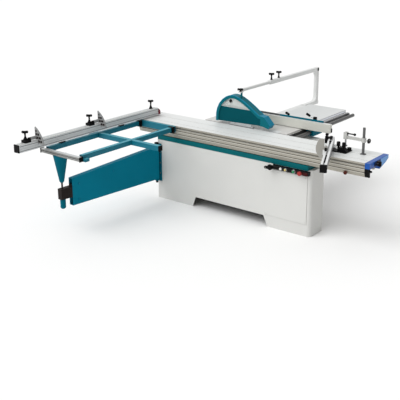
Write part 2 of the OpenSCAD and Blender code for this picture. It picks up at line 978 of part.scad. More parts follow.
module scoring_blade() {
    sz = zt - scoring_d/2 - 6;
    color("lightsteelblue") {
        rod_y(scoring_d/2, [-1.5, 1.5], scoring_x + 40, sz);
        rod_y(10, [-8, 58], scoring_x + 40, sz);
    }
}

module extension_table() {
    color("silver")
    difference() {
        bx([-100, ext_x1], [main_y1, ext_y1], [zt - 32, zt]);
        bx([-96, ext_x1 - 4], [main_y1 + 4, ext_y1 - 4], [zt - 33, zt - 4]);
    }
}

module rip_rail() {
    bar_x1 = rail_x - 46;
    color("silver") {
        rod_y(20, [20, 1335], rail_x, rail_z);
        for (y = [40, 600, 1280])
            bx([bar_x1, rail_x - 14], [y, y + 30], [rail_z - 10, rail_z + 10]);
        bx([main_x1, bar_x1], [20, 1335], [rail_z - 14, rail_z + 22]);
        bx([ext_x1, main_x1], [main_y1, 1310], [rail_z - 18, rail_z + 30]);
    }
}

module rip_head() {
    color("teal") {
        difference() {
            bx([rail_x - 44, rail_x + 44], [rip_y + 50, rip_y + 240], [rail_z - 36, rail_z + 40]);
            rod_y(20.05, [rip_y, rip_y + 300], rail_x, rail_z);
            bx([rail_x - 45, rail_x - 10], [rip_y, rip_y + 300], [rail_z - 13, rail_z + 13]);
        }
        bx([rail_x - 40, rail_x + 75], [rip_y + 50, rip_y + 120], [rail_z + 40, zt + 96]);
        bx([180, rail_x - 40], [rip_y + 50, rip_y + 96], [zt + 5, zt + 72]);
        bx([200, rail_x + 30], [rip_y + 42, rip_y + 50], [zt + 30, zt + 48]);
    }
}

module rip_fence() {
    z1 = rip_z0 + rip_h;
    x0 = rip_x1 - rip_length;
    color("silver")
    difference() {
        bx([x0, rip_x1], [rip_y, rip_y + 41.5], [rip_z0, z1]);
        bx([x0 - 1, rip_x1 + 1], [rip_y + 5, rip_y + 30], [rip_z0 + 5, z1 - 5]);
        bx([x0 - 1, rip_x1 + 1], [rip_y + 29, rip_y + 42], [zt + 34, zt + 44]);
    }
    color("black")
    bx([rip_x1, rip_x1 + 8], [rip_y, rip_y + 41.5], [rip_z0, z1]);
}

module rip_lever(x, z) {
    y = rip_y + 74;
    rod_z(12, [z, z + 24], x, y);
    translate([x, y, z + 12])
        rotate([0, 24, 0])
            rod_x(6, [-86, 0], 0, 4);
    translate([x, y, z + 12])
        rotate([0, 24, 0])
            rod_x(11, [-120, -70], 0, 4);
}

module rip_lever_1() {
    color("black")
    rip_lever(305, zt + 72);
}

module rip_lever_2() {
    color("black")
    rip_lever(rail_x + 45, zt + 96);
}

module guard_post() {
    z1 = guard_arm_z;
    x = [post_x - 28, post_x + 28];
    gusset = 70;
    color("whitesmoke") {
        difference() {
            union() {
                bx(x, post_y, [zt - 2, z1]);
                bx(x, [563, post_y[1]], [z1 - 56, z1]);
                along_x(x)
                    for (p = [[z1 - 56, -gusset], [zt - 2, gusset]])
                        polygon([[post_y[0], p[0]], [post_y[0] - gusset, p[0]], [post_y[0], p[0] + p[1]]]);
            }
            bx([post_x - 18.5, post_x + 18.5], [562, post_y[1] - 16], [z1 - 46.5, z1 - 9.5]);
        }
        bx([x[0], -100], [main_y1, post_y[1]], [zt - 42, zt - 2]);
    }
    color("black")
    for (y = [608, 760])
        tee_knob(post_x, y, z1, 66);
}

module guard_tube() {
    z1 = guard_arm_z;
    color("whitesmoke")
    difference() {
        union() {
            bx([post_x - 18, post_x + 18], [hood_rod_y, 900], [z1 - 46, z1 - 10]);
            bx([post_x - 24, post_x + 24], [hood_rod_y - 24, hood_rod_y + 26], [z1 - 47, z1 - 4]);
        }
        rod_z(11.05, [z1 - 53, z1 - 3], post_x, hood_rod_y);
    }
    color("black") {
        rod_y(7, [hood_rod_y - 50, hood_rod_y - 24], post_x, z1 - 22);
        rod_x(9, [post_x - 28, post_x + 28], hood_rod_y - 54, z1 - 22);
    }
}

// Side view of the hood in (X, Z), from its rear foot over the arch to the nose
function guard_line() = [[-465, 905], [-463, 990], [-449, 1047], [-421, 1104], [-380, 1152], [-327, 1189],
    [-279, 1208], [-239, 1214], [-200, 1209], [-150, 1192], [-90, 1163], [-6, 1112], [104, 1036], [168, 1027],
    [244, 946], [220, 908], [152, 925]];

// The side view set in from the edge
module guard_inside(edge) {
    offset(delta = -edge)
        polygon(guard_line());
}

// The clear pane, above the sheet panel of each side
module guard_pane(edge) {
    intersection() {
        guard_inside(edge);
        rect([-470, 140], [pane_z, 1220]);
    }
}

module guard_hood() {
    color("teal") {
        difference() {
            along_y([guard_y0, guard_y1])
                polygon(guard_line());
            along_y([guard_y0 + 3, guard_y1 - 3]) {
                guard_inside(4);
                rect([-461, 150], [880, 932]);
            }
            along_y([guard_y0 - 1, guard_y0 + 4]) {
                intersection() {
                    guard_inside(guard_rim);
                    rect([-470, 120], [880, 1220]);
                }
                rect([-465 + guard_rim, 120], [880, 980]);
            }
            along_y([guard_y1 - 4, guard_y1 + 1])
                guard_pane(guard_rim);
        }
        along_y([guard_y0 + 10, guard_y0 + 12])
            intersection() {
                guard_inside(3);
                rect([-470, 160], [880, pane_z]);
            }
    }
    color("silver")
    rod_z(11, [1186, guard_arm_z - 4], post_x, hood_rod_y);
}

module guard_window() {
    color("lightcyan") {
        along_y([guard_y0 + 10, guard_y0 + 12])
            guard_pane(4);
        along_y([guard_y1 - 3, guard_y1 - 0.5])
            guard_pane(guard_rim);
    }
}

module control_panel() {
    y1 = by0;
    color("dimgray")
    difference() {
        along_x([520, 975])
            polygon([[y1, 642], [y1 - 34, 645], [y1 - 44, 676], [y1 - 32, base_height - 1],
                [y1, base_height - 1]]);
        for (x = [660, 716])
            rod_y(11.1, [y1 - 60, y1 - 12], x, button_z);
        for (x = [545, 809, 888])
            rod_y(13.1, [y1 - 60, y1 - 12], x, button_z);
    }
}

module push_button(x, r, out) {
    rod_y(r, [by0 - 52 - out, by0 - 18], x, button_z);
}

module selector_knob() {
    color("black") {
        rod_y(13, [by0 - 50, by0 - 12], 545, button_z);
        rod_y(20, [by0 - 72, by0 - 50], 545, button_z);
    }
}

module indicator_lamps() {
    color("white")
    push_button(660, 11, 0);
    color("gold")
    push_button(716, 11, 0);
}

module button_green() {
    color("green")
    push_button(809, 13, 2);
}

module button_red() {
    color("red") {
        push_button(888, 13, 0);
        rod_y(21, [by0 - 70, by0 - 52], 888, button_z);
    }
}

base_cabinet();
front_panel();
saw_cabinet();
guide_beam();
lower_rail();
rail_rods();
hinge_bracket();
control_panel();
selector_knob();
indicator_lamps();
button_green();
button_red();
main_table();
table_insert();
trunnion_brackets();
extension_table();
rip_rail();
guard_post();
tilt_frame();
arbor_carrier();
main_motor();
drive_belt();
riving_knife();
main_arbor();
main_blade();
motor_pulley();
scoring_blade();
ball_cage();
carriage();
carriage_rods();
end_plate();
end_caps();
push_handle();
lock_knob();
frame_tubes();
frame_clamps();
end_bar();
support_cone();
swing_arm();
arm_tube();
crosscut_fence();
stop_block_1();
stop_fin_1();
stop_block_2();
stop_fin_2();
mitre_base();
mitre_fence();
mitre_lever();
mitre_stop();
clamp_column();
clamp_arm();
clamp_lever();
clamp_spindle();
rip_head();
rip_fence();
rip_lever_1();
rip_lever_2();
guard_tube();
guard_hood();
guard_window();
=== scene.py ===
"""Looks of a sliding table saw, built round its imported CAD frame.

The CAD nodes keep their shapes and get procedural finishes here. Small moulded and pressed details, such as
grips, screw heads, ribs and bezels, are surfaces worked out with numpy that ride on the CAD bodies. They are
placed by the boxes of the nodes and the pivots of the joints.
The frame is the part's: +X to the operator's end, +Y to the rip side, +Z up. Details are in millimetres.
"""

from __future__ import annotations

import json
import logging
import math
from abc import ABC, abstractmethod
from dataclasses import dataclass
from enum import Enum
from typing import Iterable, NamedTuple, Sequence

import bmesh
import bpy
import numpy as np
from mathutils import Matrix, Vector

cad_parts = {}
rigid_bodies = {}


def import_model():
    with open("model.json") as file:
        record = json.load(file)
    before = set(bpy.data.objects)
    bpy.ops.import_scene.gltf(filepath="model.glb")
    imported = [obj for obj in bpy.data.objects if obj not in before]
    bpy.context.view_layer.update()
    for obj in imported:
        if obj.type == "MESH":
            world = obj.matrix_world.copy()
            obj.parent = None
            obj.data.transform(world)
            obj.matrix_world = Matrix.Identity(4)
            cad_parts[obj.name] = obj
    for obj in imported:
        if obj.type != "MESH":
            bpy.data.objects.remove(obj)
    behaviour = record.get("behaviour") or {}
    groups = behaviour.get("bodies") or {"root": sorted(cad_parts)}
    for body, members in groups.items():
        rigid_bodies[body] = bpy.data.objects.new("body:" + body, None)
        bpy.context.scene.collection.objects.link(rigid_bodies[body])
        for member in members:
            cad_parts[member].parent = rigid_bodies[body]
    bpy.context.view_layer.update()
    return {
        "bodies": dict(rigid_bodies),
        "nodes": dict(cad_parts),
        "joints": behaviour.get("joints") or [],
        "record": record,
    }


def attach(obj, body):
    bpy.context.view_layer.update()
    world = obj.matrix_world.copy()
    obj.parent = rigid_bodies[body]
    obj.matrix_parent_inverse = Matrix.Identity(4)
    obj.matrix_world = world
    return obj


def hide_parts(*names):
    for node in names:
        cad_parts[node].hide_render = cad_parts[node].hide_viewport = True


LOG = logging.getLogger("table_saw")
IMAGE_SIDE = 400
MM = 0.001
SHARP_ANGLE = math.radians(38.0)
FLAT_ANGLE = math.radians(0.4)
MERGE_DISTANCE = 0.00002
NOISE_SPAN = (0.3, 0.7)
HANDLING = 0.02
Triple = tuple[float, float, float]
Color = Triple
Span = tuple[float, float]
Edges = tuple[tuple[str, float], ...]
Point = Sequence[float]
Profile = Sequence[Span]
Wire = bpy.types.NodeSocket
Feed = Wire | float | Sequence[float]


class Axis(Enum):
    """The direction that a turned or extruded piece runs along, as (along, first side, second side)."""

    X = ((1, 0, 0), (0, 1, 0), (0, 0, 1))
    Y = ((0, 1, 0), (0, 0, 1), (1, 0, 0))
    Z = ((0, 0, 1), (1, 0, 0), (0, 1, 0))
    MINUS_Y = ((0, -1, 0), (1, 0, 0), (0, 0, 1))
    MINUS_Z = ((0, 0, -1), (0, 1, 0), (1, 0, 0))

    def basis(self) -> np.ndarray:
        """Returns the three direction vectors as rows."""
        return np.array(self.value, float)


class Grain(Enum):
    """How a metal's drawn or ground lines are stretched: the scale of its noise along X, Y and Z."""

    ALONG_X = (3.0, 420.0, 420.0)
    ALONG_Y = (420.0, 3.0, 420.0)
    EVEN = (160.0, 160.0, 160.0)


class Slot(Enum):
    """The record's material slots, named with each added piece; the pieces are not given them."""

    CREAM = "cream"
    TEAL = "teal"
    ALUMINIUM = "aluminium"
    STEEL = "steel"
    GREY = "grey"
    DARK = "dark"
    BLACK = "black"
    BLUE = "blue"
    BROWN = "brown"
    LAMP = "lamp"
    GREEN = "green"
    RED = "red"


class TreeBench:
    """A small bench for wiring a tree of shader nodes."""

    def __init__(self, tree: bpy.types.NodeTree) -> None:
        """Keeps the tree that is worked on."""
        self.tree = tree

    def node(self, kind: str, **inputs: Feed) -> bpy.types.Node:
        """Adds a node and feeds its inputs.

        Args:
            kind: the node's type, without its ShaderNode prefix.
            inputs: a socket or a plain value for each input, named with underscores for spaces.

        Returns:
            The new node.
        """
        made = self.tree.nodes.new(f"ShaderNode{kind}")
        self.feed(made, **inputs)
        return made

    def feed(self, node: bpy.types.Node, **inputs: Feed) -> None:
        """Links or sets inputs of a node.

        Args:
            node: the node to feed.
            inputs: a socket or a plain value for each input, named with underscores for spaces.
        """
        for name, given in inputs.items():
            socket = node.inputs[name.replace("_", " ")]
            if isinstance(given, Wire):
                self.tree.links.new(given, socket)
            else:
                socket.default_value = given


class MaterialBench(TreeBench):
    """A bench for one procedural material, whose patterns lie in object coordinates."""

    def __init__(self, name: str) -> None:
        """Starts a material with a Principled shader.

        Args:
            name: name of the new material.
        """
        self.material = bpy.data.materials.new(name)
        self.material.use_nodes = True
        super().__init__(self.material.node_tree)
        self.shader = self.tree.nodes["Principled BSDF"]
        self.coords = self.node("TexCoord").outputs["Object"]

    def coat(self, **inputs: Feed) -> None:
        """Feeds the shader's own inputs."""
        self.feed(self.shader, **inputs)

    def stretched(self, scale: Sequence[float]) -> Wire:
        """Returns object coordinates scaled by three factors."""
        return self.node("Mapping", Vector=self.coords, Scale=scale).outputs["Vector"]

    def noise(self, scale: float | Sequence[float], detail: float = 3.0, rough: float = 0.55) -> Wire:
        """Adds a noise.

        Args:
            scale: noise scale in features per metre, one for all or one each along X, Y and Z.
            detail: octaves of the noise.
            rough: weight of the finer octaves.

        Returns:
            The noise's factor.
        """
        scales = (scale,) * 3 if isinstance(scale, float) else scale
        made = self.node("TexNoise", Vector=self.stretched(scales), Scale=1.0, Detail=detail, Roughness=rough)
        return made.outputs["Fac"]

    def ramp(self, factor: Wire, stops: Iterable[tuple[float, Color]]) -> Wire:
        """Adds a colour ramp.

        Args:
            factor: what picks the colour.
            stops: (place, colour) pairs, in rising order of place.

        Returns:
            The picked colour.
        """
        node = self.node("ValToRGB", Fac=factor)
        for stop, (place, color) in zip(node.color_ramp.elements, stops):
            stop.position = place
            stop.color = (*color, 1.0)
        return node.outputs["Color"]

    def tones(self, factor: Wire, color: Color, spread: float, reach: float = 0.2) -> Wire:
        """Adds a ramp from a darker to a lighter shade of one colour.

        Args:
            factor: what picks the shade.
            color: the colour in the middle.
            spread: share by which the two shades are darker and lighter.
            reach: how far below and above 0.5 the factor gives the two shades.

        Returns:
            The picked shade.
        """
        shades = (shade(color, 1.0 - spread), shade(color, 1.0 + spread))
        return self.ramp(factor, zip((0.5 - reach, 0.5 + reach), shades))

    def span(self, factor: Wire, low: float, high: float) -> Wire:
        """Maps the span where nearly all of a noise lies onto another, in a straight line.

        Args:
            factor: the noise.
            low: result at the low end.
            high: result at the high end.

        Returns:
            The mapped factor.
        """
        start, end = NOISE_SPAN
        made = self.node("MapRange", Value=factor, From_Min=start, From_Max=end, To_Min=low, To_Max=high)
        return made.outputs["Result"]

    def wear(self, factor: Wire, rough: float, spread: float) -> None:
        """Lets the roughness wander by a spread both ways, and by a little more where hands have been."""
        self.coat(Roughness=self.span(factor, rough - spread, rough + spread + HANDLING))

    def fold(self, axis: Axis, pitch: float) -> Wire:
        """Adds a factor that runs from 0 to 1 again and again: the fraction of a coordinate over the pitch.

        Args:
            axis: X, Y or Z.
            pitch: length of one run in metres.

        Returns:
            The repeating factor.
        """
        split = self.node("SeparateXYZ", Vector=self.stretched((1.0 / pitch,) * 3))
        part = self.node("Math", Value=split.outputs[axis.name])
        part.operation = "FRACT"
        return part.outputs["Value"]

    def upward(self) -> Wire:
        """Returns how far the surface faces up, 1 on a level top and 0 on an upright side."""
        normal = self.node("NewGeometry").outputs["Normal"]
        return self.node("SeparateXYZ", Vector=normal).outputs["Z"]

    def blend(self, factor: Wire, low: Wire, high: Wire) -> Wire:
        """Mixes two colours.

        Args:
            factor: share of the second colour, 0 to 1.
            low: the first colour.
            high: the second colour.

        Returns:
            The mixed colour.
        """
        node = self.node("Mix")
        node.data_type = "RGBA"
        sockets = {socket.identifier: socket for socket in (*node.inputs, *node.outputs)}
        for name, source in (("Factor_Float", factor), ("A_Color", low), ("B_Color", high)):
            self.tree.links.new(source, sockets[name])
        return sockets["Result_Color"]

    def bump(self, height: Wire, strength: float, distance: float) -> None:
        """Bumps the surface by a height of 0..1 times a distance in metres."""
        made = self.node("Bump", Height=height, Strength=strength, Distance=distance)
        self.coat(Normal=made.outputs["Normal"])


def shade(color: Color, factor: float) -> Color:
    """Returns a colour made darker or lighter by a factor."""
    return tuple(min(1.0, max(0.0, part * factor)) for part in color)


@dataclass(frozen=True)
class Paint:
    """Powder coat on sheet steel: a slight orange peel, cloudy gloss and a little rubbed dust."""

    name: str
    color: Color
    gloss: float = 0.42
    cloud: float = 0.05
    shine: float = 0.4
    cloud_scale: float = 2.2
    wear_scale: float = 9.0
    peel_scale: float = 620.0
    peel_depth: float = 0.0004

    def material(self) -> bpy.types.Material:
        """Returns the finished material."""
        bench = MaterialBench(self.name)
        clouds = bench.noise(self.cloud_scale, detail=4.0)
        bench.coat(Base_Color=bench.tones(clouds, self.color, self.cloud), Specular_IOR_Level=self.shine)
        bench.wear(bench.noise(self.wear_scale), self.gloss, 0.06)
        bench.bump(bench.noise(self.peel_scale, detail=1.0), 0.12, self.peel_depth)
        return bench.material


@dataclass(frozen=True)
class Metal:
    """Drawn, planed or ground metal with fine lines along its grain."""

    name: str
    color: Color
    grain: Grain
    rough: float = 0.36
    metallic: float = 0.75
    line: float = 0.10
    line_depth: float = 0.0002

    def material(self) -> bpy.types.Material:
        """Returns the finished material."""
        bench = MaterialBench(self.name)
        lines = bench.noise(self.grain.value, detail=4.0, rough=0.65)
        bench.coat(Base_Color=bench.tones(lines, self.color, self.line, 0.22), Metallic=self.metallic)
        bench.wear(lines, self.rough, 0.07)
        bench.bump(lines, 0.08, self.line_depth)
        return bench.material


@dataclass(frozen=True)
class ShadedExtrusion:
    """A drawn section with painted light: its level top is painted bright as lit, and its upright sides
    duller and warmer as painted shade.
    """

    name: str
    # top is the lit colour painted on level faces, side the shaded colour painted on upright faces.
    top: Color
    side: Color
    grain: Grain
    rough: float = 0.45
    metallic: float = 0.12
    line: float = 0.06
    line_depth: float = 0.0002
    shine: float = 0.3

    def material(self) -> bpy.types.Material:
        """Returns the finished material."""
        bench = MaterialBench(self.name)
        lines = bench.noise(self.grain.value, detail=4.0, rough=0.65)
        side, top = (bench.tones(lines, color, self.line, 0.22) for color in (self.side, self.top))
        # Painted light: the more a face points up, the more it takes the lit top colour over the shaded side
        # colour.
        lit_share = bench.span(bench.upward(), 0.0, 1.0)
        bench.coat(Base_Color=bench.blend(lit_share, side, top))
        bench.coat(Metallic=self.metallic, Specular_IOR_Level=self.shine)
        bench.wear(lines, self.rough, 0.07)
        bench.bump(lines, 0.08, self.line_depth)
        return bench.material


@dataclass(frozen=True)
class Moulded:
    """Moulded plastic with a fine spark-eroded grain."""

    name: str
    color: Color
    rough: float = 0.46
    coat: float = 0.0
    shine: float = 0.35
    cloud: float = 0.1
    cloud_scale: float = 14.0
    wear_scale: float = 60.0
    grain_scale: float = 1500.0
    grain_depth: float = 0.0002

    def material(self) -> bpy.types.Material:
        """Returns the finished material."""
        bench = MaterialBench(self.name)
        bench.coat(Base_Color=bench.tones(bench.noise(self.cloud_scale), self.color, self.cloud))
        bench.wear(bench.noise(self.wear_scale), self.rough, 0.05)
        bench.bump(bench.noise(self.grain_scale, detail=1.0), 0.15, self.grain_depth)
        bench.coat(Coat_Weight=self.coat, Coat_Roughness=0.08, Specular_IOR_Level=self.shine)
        return bench.material


@dataclass(frozen=True)
class Ruler:
    """A printed strip with plain division lines and no figures."""

    name: str
    axis: Axis
    ground: Color
    mark: Color
    pitch: float = 0.01
    share: float = 0.12
    blur: float = 0.01
    print_scale: float = 40.0

    def material(self) -> bpy.types.Material:
        """Returns the finished material."""
        bench = MaterialBench(self.name)
        stops = ((self.share, self.mark), (self.share + self.blur, self.ground))
        bench.coat(Base_Color=bench.ramp(bench.fold(self.axis, self.pitch), stops))
        grain = bench.noise(self.print_scale)
        bench.coat(Roughness=bench.span(grain, 0.35, 0.5))
        bench.bump(grain, 0.05, 0.0002)
        return bench.material


@dataclass(frozen=True)
class ClearSheet:
    """Milky clear sheet with faint dust."""

    name: str
    color: Color
    clear: float = 0.6
    index: float = 1.3
    dust_scale: float = 30.0
    dust: float = 0.93

    def material(self) -> bpy.types.Material:
        """Returns the finished material."""
        bench = MaterialBench(self.name)
        dust = bench.noise(self.dust_scale, detail=5.0)
        stops = ((0.35, self.color), (0.75, shade(self.color, self.dust)))
        bench.coat(Base_Color=bench.ramp(dust, stops), Roughness=bench.span(dust, 0.08, 0.22))
        bench.bump(dust, 0.03, 0.0002)
        bench.coat(IOR=self.index, Transmission_Weight=self.clear)
        return bench.material


Finish = Paint | Metal | ShadedExtrusion | Moulded | Ruler | ClearSheet

CREAM = Paint("cream_coat", (0.62, 0.62, 0.60), gloss=0.42, cloud=0.02, shine=0.25)
POST_PAINT = Paint("post_coat", (0.7, 0.71, 0.7), gloss=0.42, cloud=0.03, shine=0.25)
TEAL = Paint("teal_coat", (0.001, 0.116, 0.168), gloss=0.42, cloud=0.06, shine=0.03)
# A lighter copy of the teal paint for the swing arm: painted light on its faces towards the operator's end.
ARM_LIT_TEAL = Paint("arm_lit_teal_coat", (0.001, 0.18, 0.27), gloss=0.42, cloud=0.06, shine=0.03)
BEAM_TEAL = Paint("beam_teal_coat", (0.003, 0.112, 0.128), gloss=0.45, cloud=0.08, shine=0.05)
# A darker teal for the hood's side panel: partly its own colour, partly painted shade of the recessed panel.
PANEL_TEAL_AND_SHADE = Paint("panel_teal_and_shade_coat", (0.0008, 0.070, 0.088), gloss=0.5, cloud=0.10, shine=0.04)
RIM_TEAL = Paint("rim_teal_coat", (0.001, 0.130, 0.165), gloss=0.36, cloud=0.06, shine=0.10)
# A lighter copy of the teal paint: painted highlight on the hood's rim beads and nose and on the arm's bolt
# heads.
HIGHLIGHT_TEAL = Paint("highlight_teal_coat", (0.003, 0.20, 0.32), gloss=0.36, cloud=0.05, shine=0.12)
GREY_PAINT = Paint("grey_coat", (0.27, 0.275, 0.275), gloss=0.45)
BEIGE_GREY = Paint("beige_grey_coat", (0.34, 0.33, 0.30), gloss=0.45)
PALE_GREY = Paint("pale_grey_coat", (0.52, 0.52, 0.50), gloss=0.42)
EDGE_GREY = Paint("edge_grey_coat", (0.50, 0.52, 0.56), gloss=0.45)
RAIL_GREY = Paint("rail_grey_coat", (0.17, 0.175, 0.185), gloss=0.45, shine=0.2)
# Painted shade: the grey of the gap round the front panel.
SEAM_SHADE_GREY = Paint("seam_shade_grey", (0.46, 0.46, 0.44), gloss=0.6, shine=0.15)
DARK_PAINT = Paint("dark_coat", (0.014, 0.009, 0.008), gloss=0.5, shine=0.12)
# Painted shadow and painted highlight lines for the shallow side grooves of the sliding table.
GROOVE_SHADOW = Paint("groove_shade", (0.07, 0.063, 0.05), gloss=0.6, shine=0.1)
GROOVE_HIGHLIGHT = Paint("groove_highlight", (0.56, 0.545, 0.49), gloss=0.5, shine=0.2)
# Painted shade: the dark of the recess behind the push grip.
RECESS_SHADE = Paint("recess_shade_coat", (0.004, 0.012, 0.05), gloss=0.45, shine=0.15)
MOTOR_PAINT = Paint("motor_coat", (0.10, 0.13, 0.16), gloss=0.5)
# These finishes paint light on one metal or paint each: a lit top colour and a darker, shaded side colour.
TUBE_TEAL = ShadedExtrusion("tube_teal_coat", (0.05, 0.30, 0.38), (0.001, 0.142, 0.205), Grain.EVEN,
                      metallic=0.0, line=0.04)
TABLE_ALU = ShadedExtrusion("table_aluminium", (0.75, 0.765, 0.755), (0.36, 0.34, 0.29), Grain.ALONG_X, line=0.05)
RIP_ALU = ShadedExtrusion("rip_aluminium", (0.68, 0.69, 0.67), (0.64, 0.64, 0.585), Grain.ALONG_X, line=0.05)
FENCE_ALU = ShadedExtrusion("fence_aluminium", (0.66, 0.68, 0.68), (0.63, 0.65, 0.655), Grain.ALONG_Y, line=0.07)
BAR_ALU = ShadedExtrusion("bar_aluminium", (0.58, 0.60, 0.60), (0.24, 0.24, 0.23), Grain.ALONG_X, line=0.08)
MITRE_ALU = ShadedExtrusion("mitre_aluminium", (0.74, 0.75, 0.75), (0.30, 0.30, 0.30), Grain.ALONG_Y, line=0.08)
STEEL = Metal("ground_steel", (0.52, 0.53, 0.54), Grain.EVEN, rough=0.3, metallic=0.9)
DARK_STEEL = Metal("dark_steel", (0.13, 0.13, 0.13), Grain.EVEN, rough=0.38, metallic=0.7)
RAIL_STEEL = Metal("rail_steel", (0.11, 0.11, 0.11), Grain.ALONG_Y, rough=0.32, metallic=0.5)
PLANED_IRON = Metal("planed_iron", (0.62, 0.61, 0.59), Grain.ALONG_X, rough=0.45, metallic=0.15, line=0.07)
PALE_TOP = Metal("pale_table_top", (0.655, 0.67, 0.665), Grain.ALONG_Y, rough=0.5, metallic=0.1, line=0.04)
CAST_IRON = Metal("raw_cast_iron", (0.20, 0.20, 0.20), Grain.EVEN, rough=0.6, metallic=0.4, line=0.2)
BLACK = Moulded("black_plastic", (0.004, 0.004, 0.0045), shine=0.08)
RUBBER = Moulded("belt_rubber", (0.010, 0.010, 0.010), rough=0.7, shine=0.10)
BLUE = Moulded("blue_plastic", (0.006, 0.078, 0.35), rough=0.34, coat=0.1, shine=0.2)
LIGHT_BLUE = Moulded("light_blue_plastic", (0.11, 0.30, 0.64), rough=0.34, coat=0.1, shine=0.2)
BROWN = Moulded("red_brown_plastic", (0.075, 0.014, 0.008), shine=0.15)
WINE = Moulded("wine_red_cap", (0.16, 0.008, 0.02), rough=0.4, shine=0.15)
DARK_RED = Moulded("dark_red_plate", (0.045, 0.004, 0.004), rough=0.45, shine=0.15)
WHITE_LENS = Moulded("white_lens", (0.78, 0.78, 0.74), rough=0.2, coat=0.6)
AMBER_LENS = Moulded("amber_lens", (0.62, 0.48, 0.16), rough=0.2, coat=0.6)
GREEN_LENS = Moulded("green_button", (0.012, 0.22, 0.08), rough=0.28, coat=0.4)
RED_LENS = Moulded("red_button", (0.34, 0.026, 0.024), rough=0.3, coat=0.2, shine=0.2)
WINDOW = ClearSheet("guard_window", (0.86, 0.89, 0.87))
FENCE_SCALE = Ruler("fence_scale", Axis.Y, (0.70, 0.70, 0.66), (0.02, 0.02, 0.02))
RAIL_SCALE = Ruler("rail_scale", Axis.Y, (0.72, 0.72, 0.68), (0.02, 0.02, 0.02))

NODE_FINISH: dict[str, Finish] = {
    **dict.fromkeys(("base_cabinet", "front_panel", "saw_cabinet"), CREAM),
    **dict.fromkeys(("guard_post", "guard_tube"), POST_PAINT),
    **dict.fromkeys(("support_cone", "rip_head", "hinge_bracket"), TEAL),
    "guide_beam": BEAM_TEAL,
    "swing_arm": ARM_LIT_TEAL,
    "frame_tubes": TUBE_TEAL,
    "guard_hood": RIM_TEAL,
    **dict.fromkeys(("lower_rail", "carriage"), TABLE_ALU),
    "rip_fence": RIP_ALU,
    "crosscut_fence": FENCE_ALU,
    "end_bar": BAR_ALU,
    "mitre_fence": MITRE_ALU,
    **dict.fromkeys(("rail_rods", "carriage_rods", "ball_cage", "clamp_spindle"), STEEL),
    **dict.fromkeys(("main_arbor", "main_blade", "scoring_blade", "motor_pulley", "riving_knife"), STEEL),
    "clamp_column": DARK_STEEL,
    "rip_rail": RAIL_STEEL,
    "main_table": PLANED_IRON,
    **dict.fromkeys(("extension_table", "table_insert"), PALE_TOP),
    **dict.fromkeys(("trunnion_brackets", "tilt_frame", "arbor_carrier"), CAST_IRON),
    **dict.fromkeys(("stop_fin_1", "stop_fin_2"), GREY_PAINT),
    "mitre_stop": BEIGE_GREY,
    "clamp_arm": PALE_GREY,
    **dict.fromkeys(("arm_tube", "push_handle"), DARK_PAINT),
    **dict.fromkeys(("selector_knob", "end_caps", "frame_clamps", "stop_block_1", "stop_block_2"), BLACK),
    **dict.fromkeys(("mitre_base", "mitre_lever", "clamp_lever", "control_panel"), BLACK),
    **dict.fromkeys(("rip_lever_1", "rip_lever_2"), STEEL),
    "main_motor": MOTOR_PAINT,
    "drive_belt": RUBBER,
    "end_plate": BLUE,
    "lock_knob": BROWN,
    "indicator_lamps": WHITE_LENS,
    "button_green": GREEN_LENS,
    "button_red": RED_LENS,
    "guard_window": WINDOW,
}


class FinishRack:
    """Keeps one material per finish and hangs it on objects."""

    def __init__(self) -> None:
        """Starts with no material made."""
        self.made: dict[str, bpy.types.Material] = {}

    def hang(self, thing: bpy.types.Object, finish: Finish) -> None:
        """Puts a finish on an object in place of what it wears.

        Args:
            thing: the object to dress.
            finish: any of the finish dataclasses above.
        """
        if finish.name not in self.made:
            self.made[finish.name] = finish.material()
        thing.data.materials.clear()
        thing.data.materials.append(self.made[finish.name])


def turned(place: Point, axis: Axis, profile: Profile, around: int = 40, lobes: int = 0,
           depth: float = 0.0) -> np.ndarray:
    """Turns a profile round an axis.

    A point lies at place + length * along + spoke * (cos(angle) * side + sin(angle) * rise), and its spoke is
    radius * (1 + depth * cos(lobes * angle)).

    Args:
        place: point on the axis where the profile's length starts.
        axis: direction of the axis.
        profile: (radius, length along the axis) pairs.
        around: points round each ring.
        lobes: number of finger lobes round the rim.
        depth: share of the radius by which the lobes rise and fall.

    Returns:
        Rings of points, shaped (rings, around, 3).
    """
    radius, length = np.array(profile, float).T
    angle = np.linspace(0.0, 2.0 * np.pi, around, endpoint=False)
    spoke = radius[:, None] * (1.0 + depth * np.cos(lobes * angle))[None, :]
    along, side, rise = axis.basis()
    return (np.asarray(place, float) + length[:, None, None] * along
            + (spoke * np.cos(angle))[..., None] * side + (spoke * np.sin(angle))[..., None] * rise)


def inset(outline: np.ndarray, distance: float) -> np.ndarray:
    """Moves an outline inwards.

    Each corner goes by distance * (n1 + n2) / (1 + n1 . n2), where n1 and n2 are the inward normals of its
    edges. The divisor is kept at 0.3 or more.

    Args:
        outline: anticlockwise points, shaped (points, 2).
        distance: how far each edge moves.

    Returns:
        The moved points, shaped as the outline.
    """
    edge = np.roll(outline, -1, axis=0) - outline
    edge /= np.linalg.norm(edge, axis=1, keepdims=True)
    normal = np.stack((-edge[:, 1], edge[:, 0]), axis=1)
    before = np.roll(normal, 1, axis=0)
    lean = 1.0 + (normal * before).sum(axis=1, keepdims=True)
    return outline + distance * (normal + before) / np.maximum(lean, 0.3)


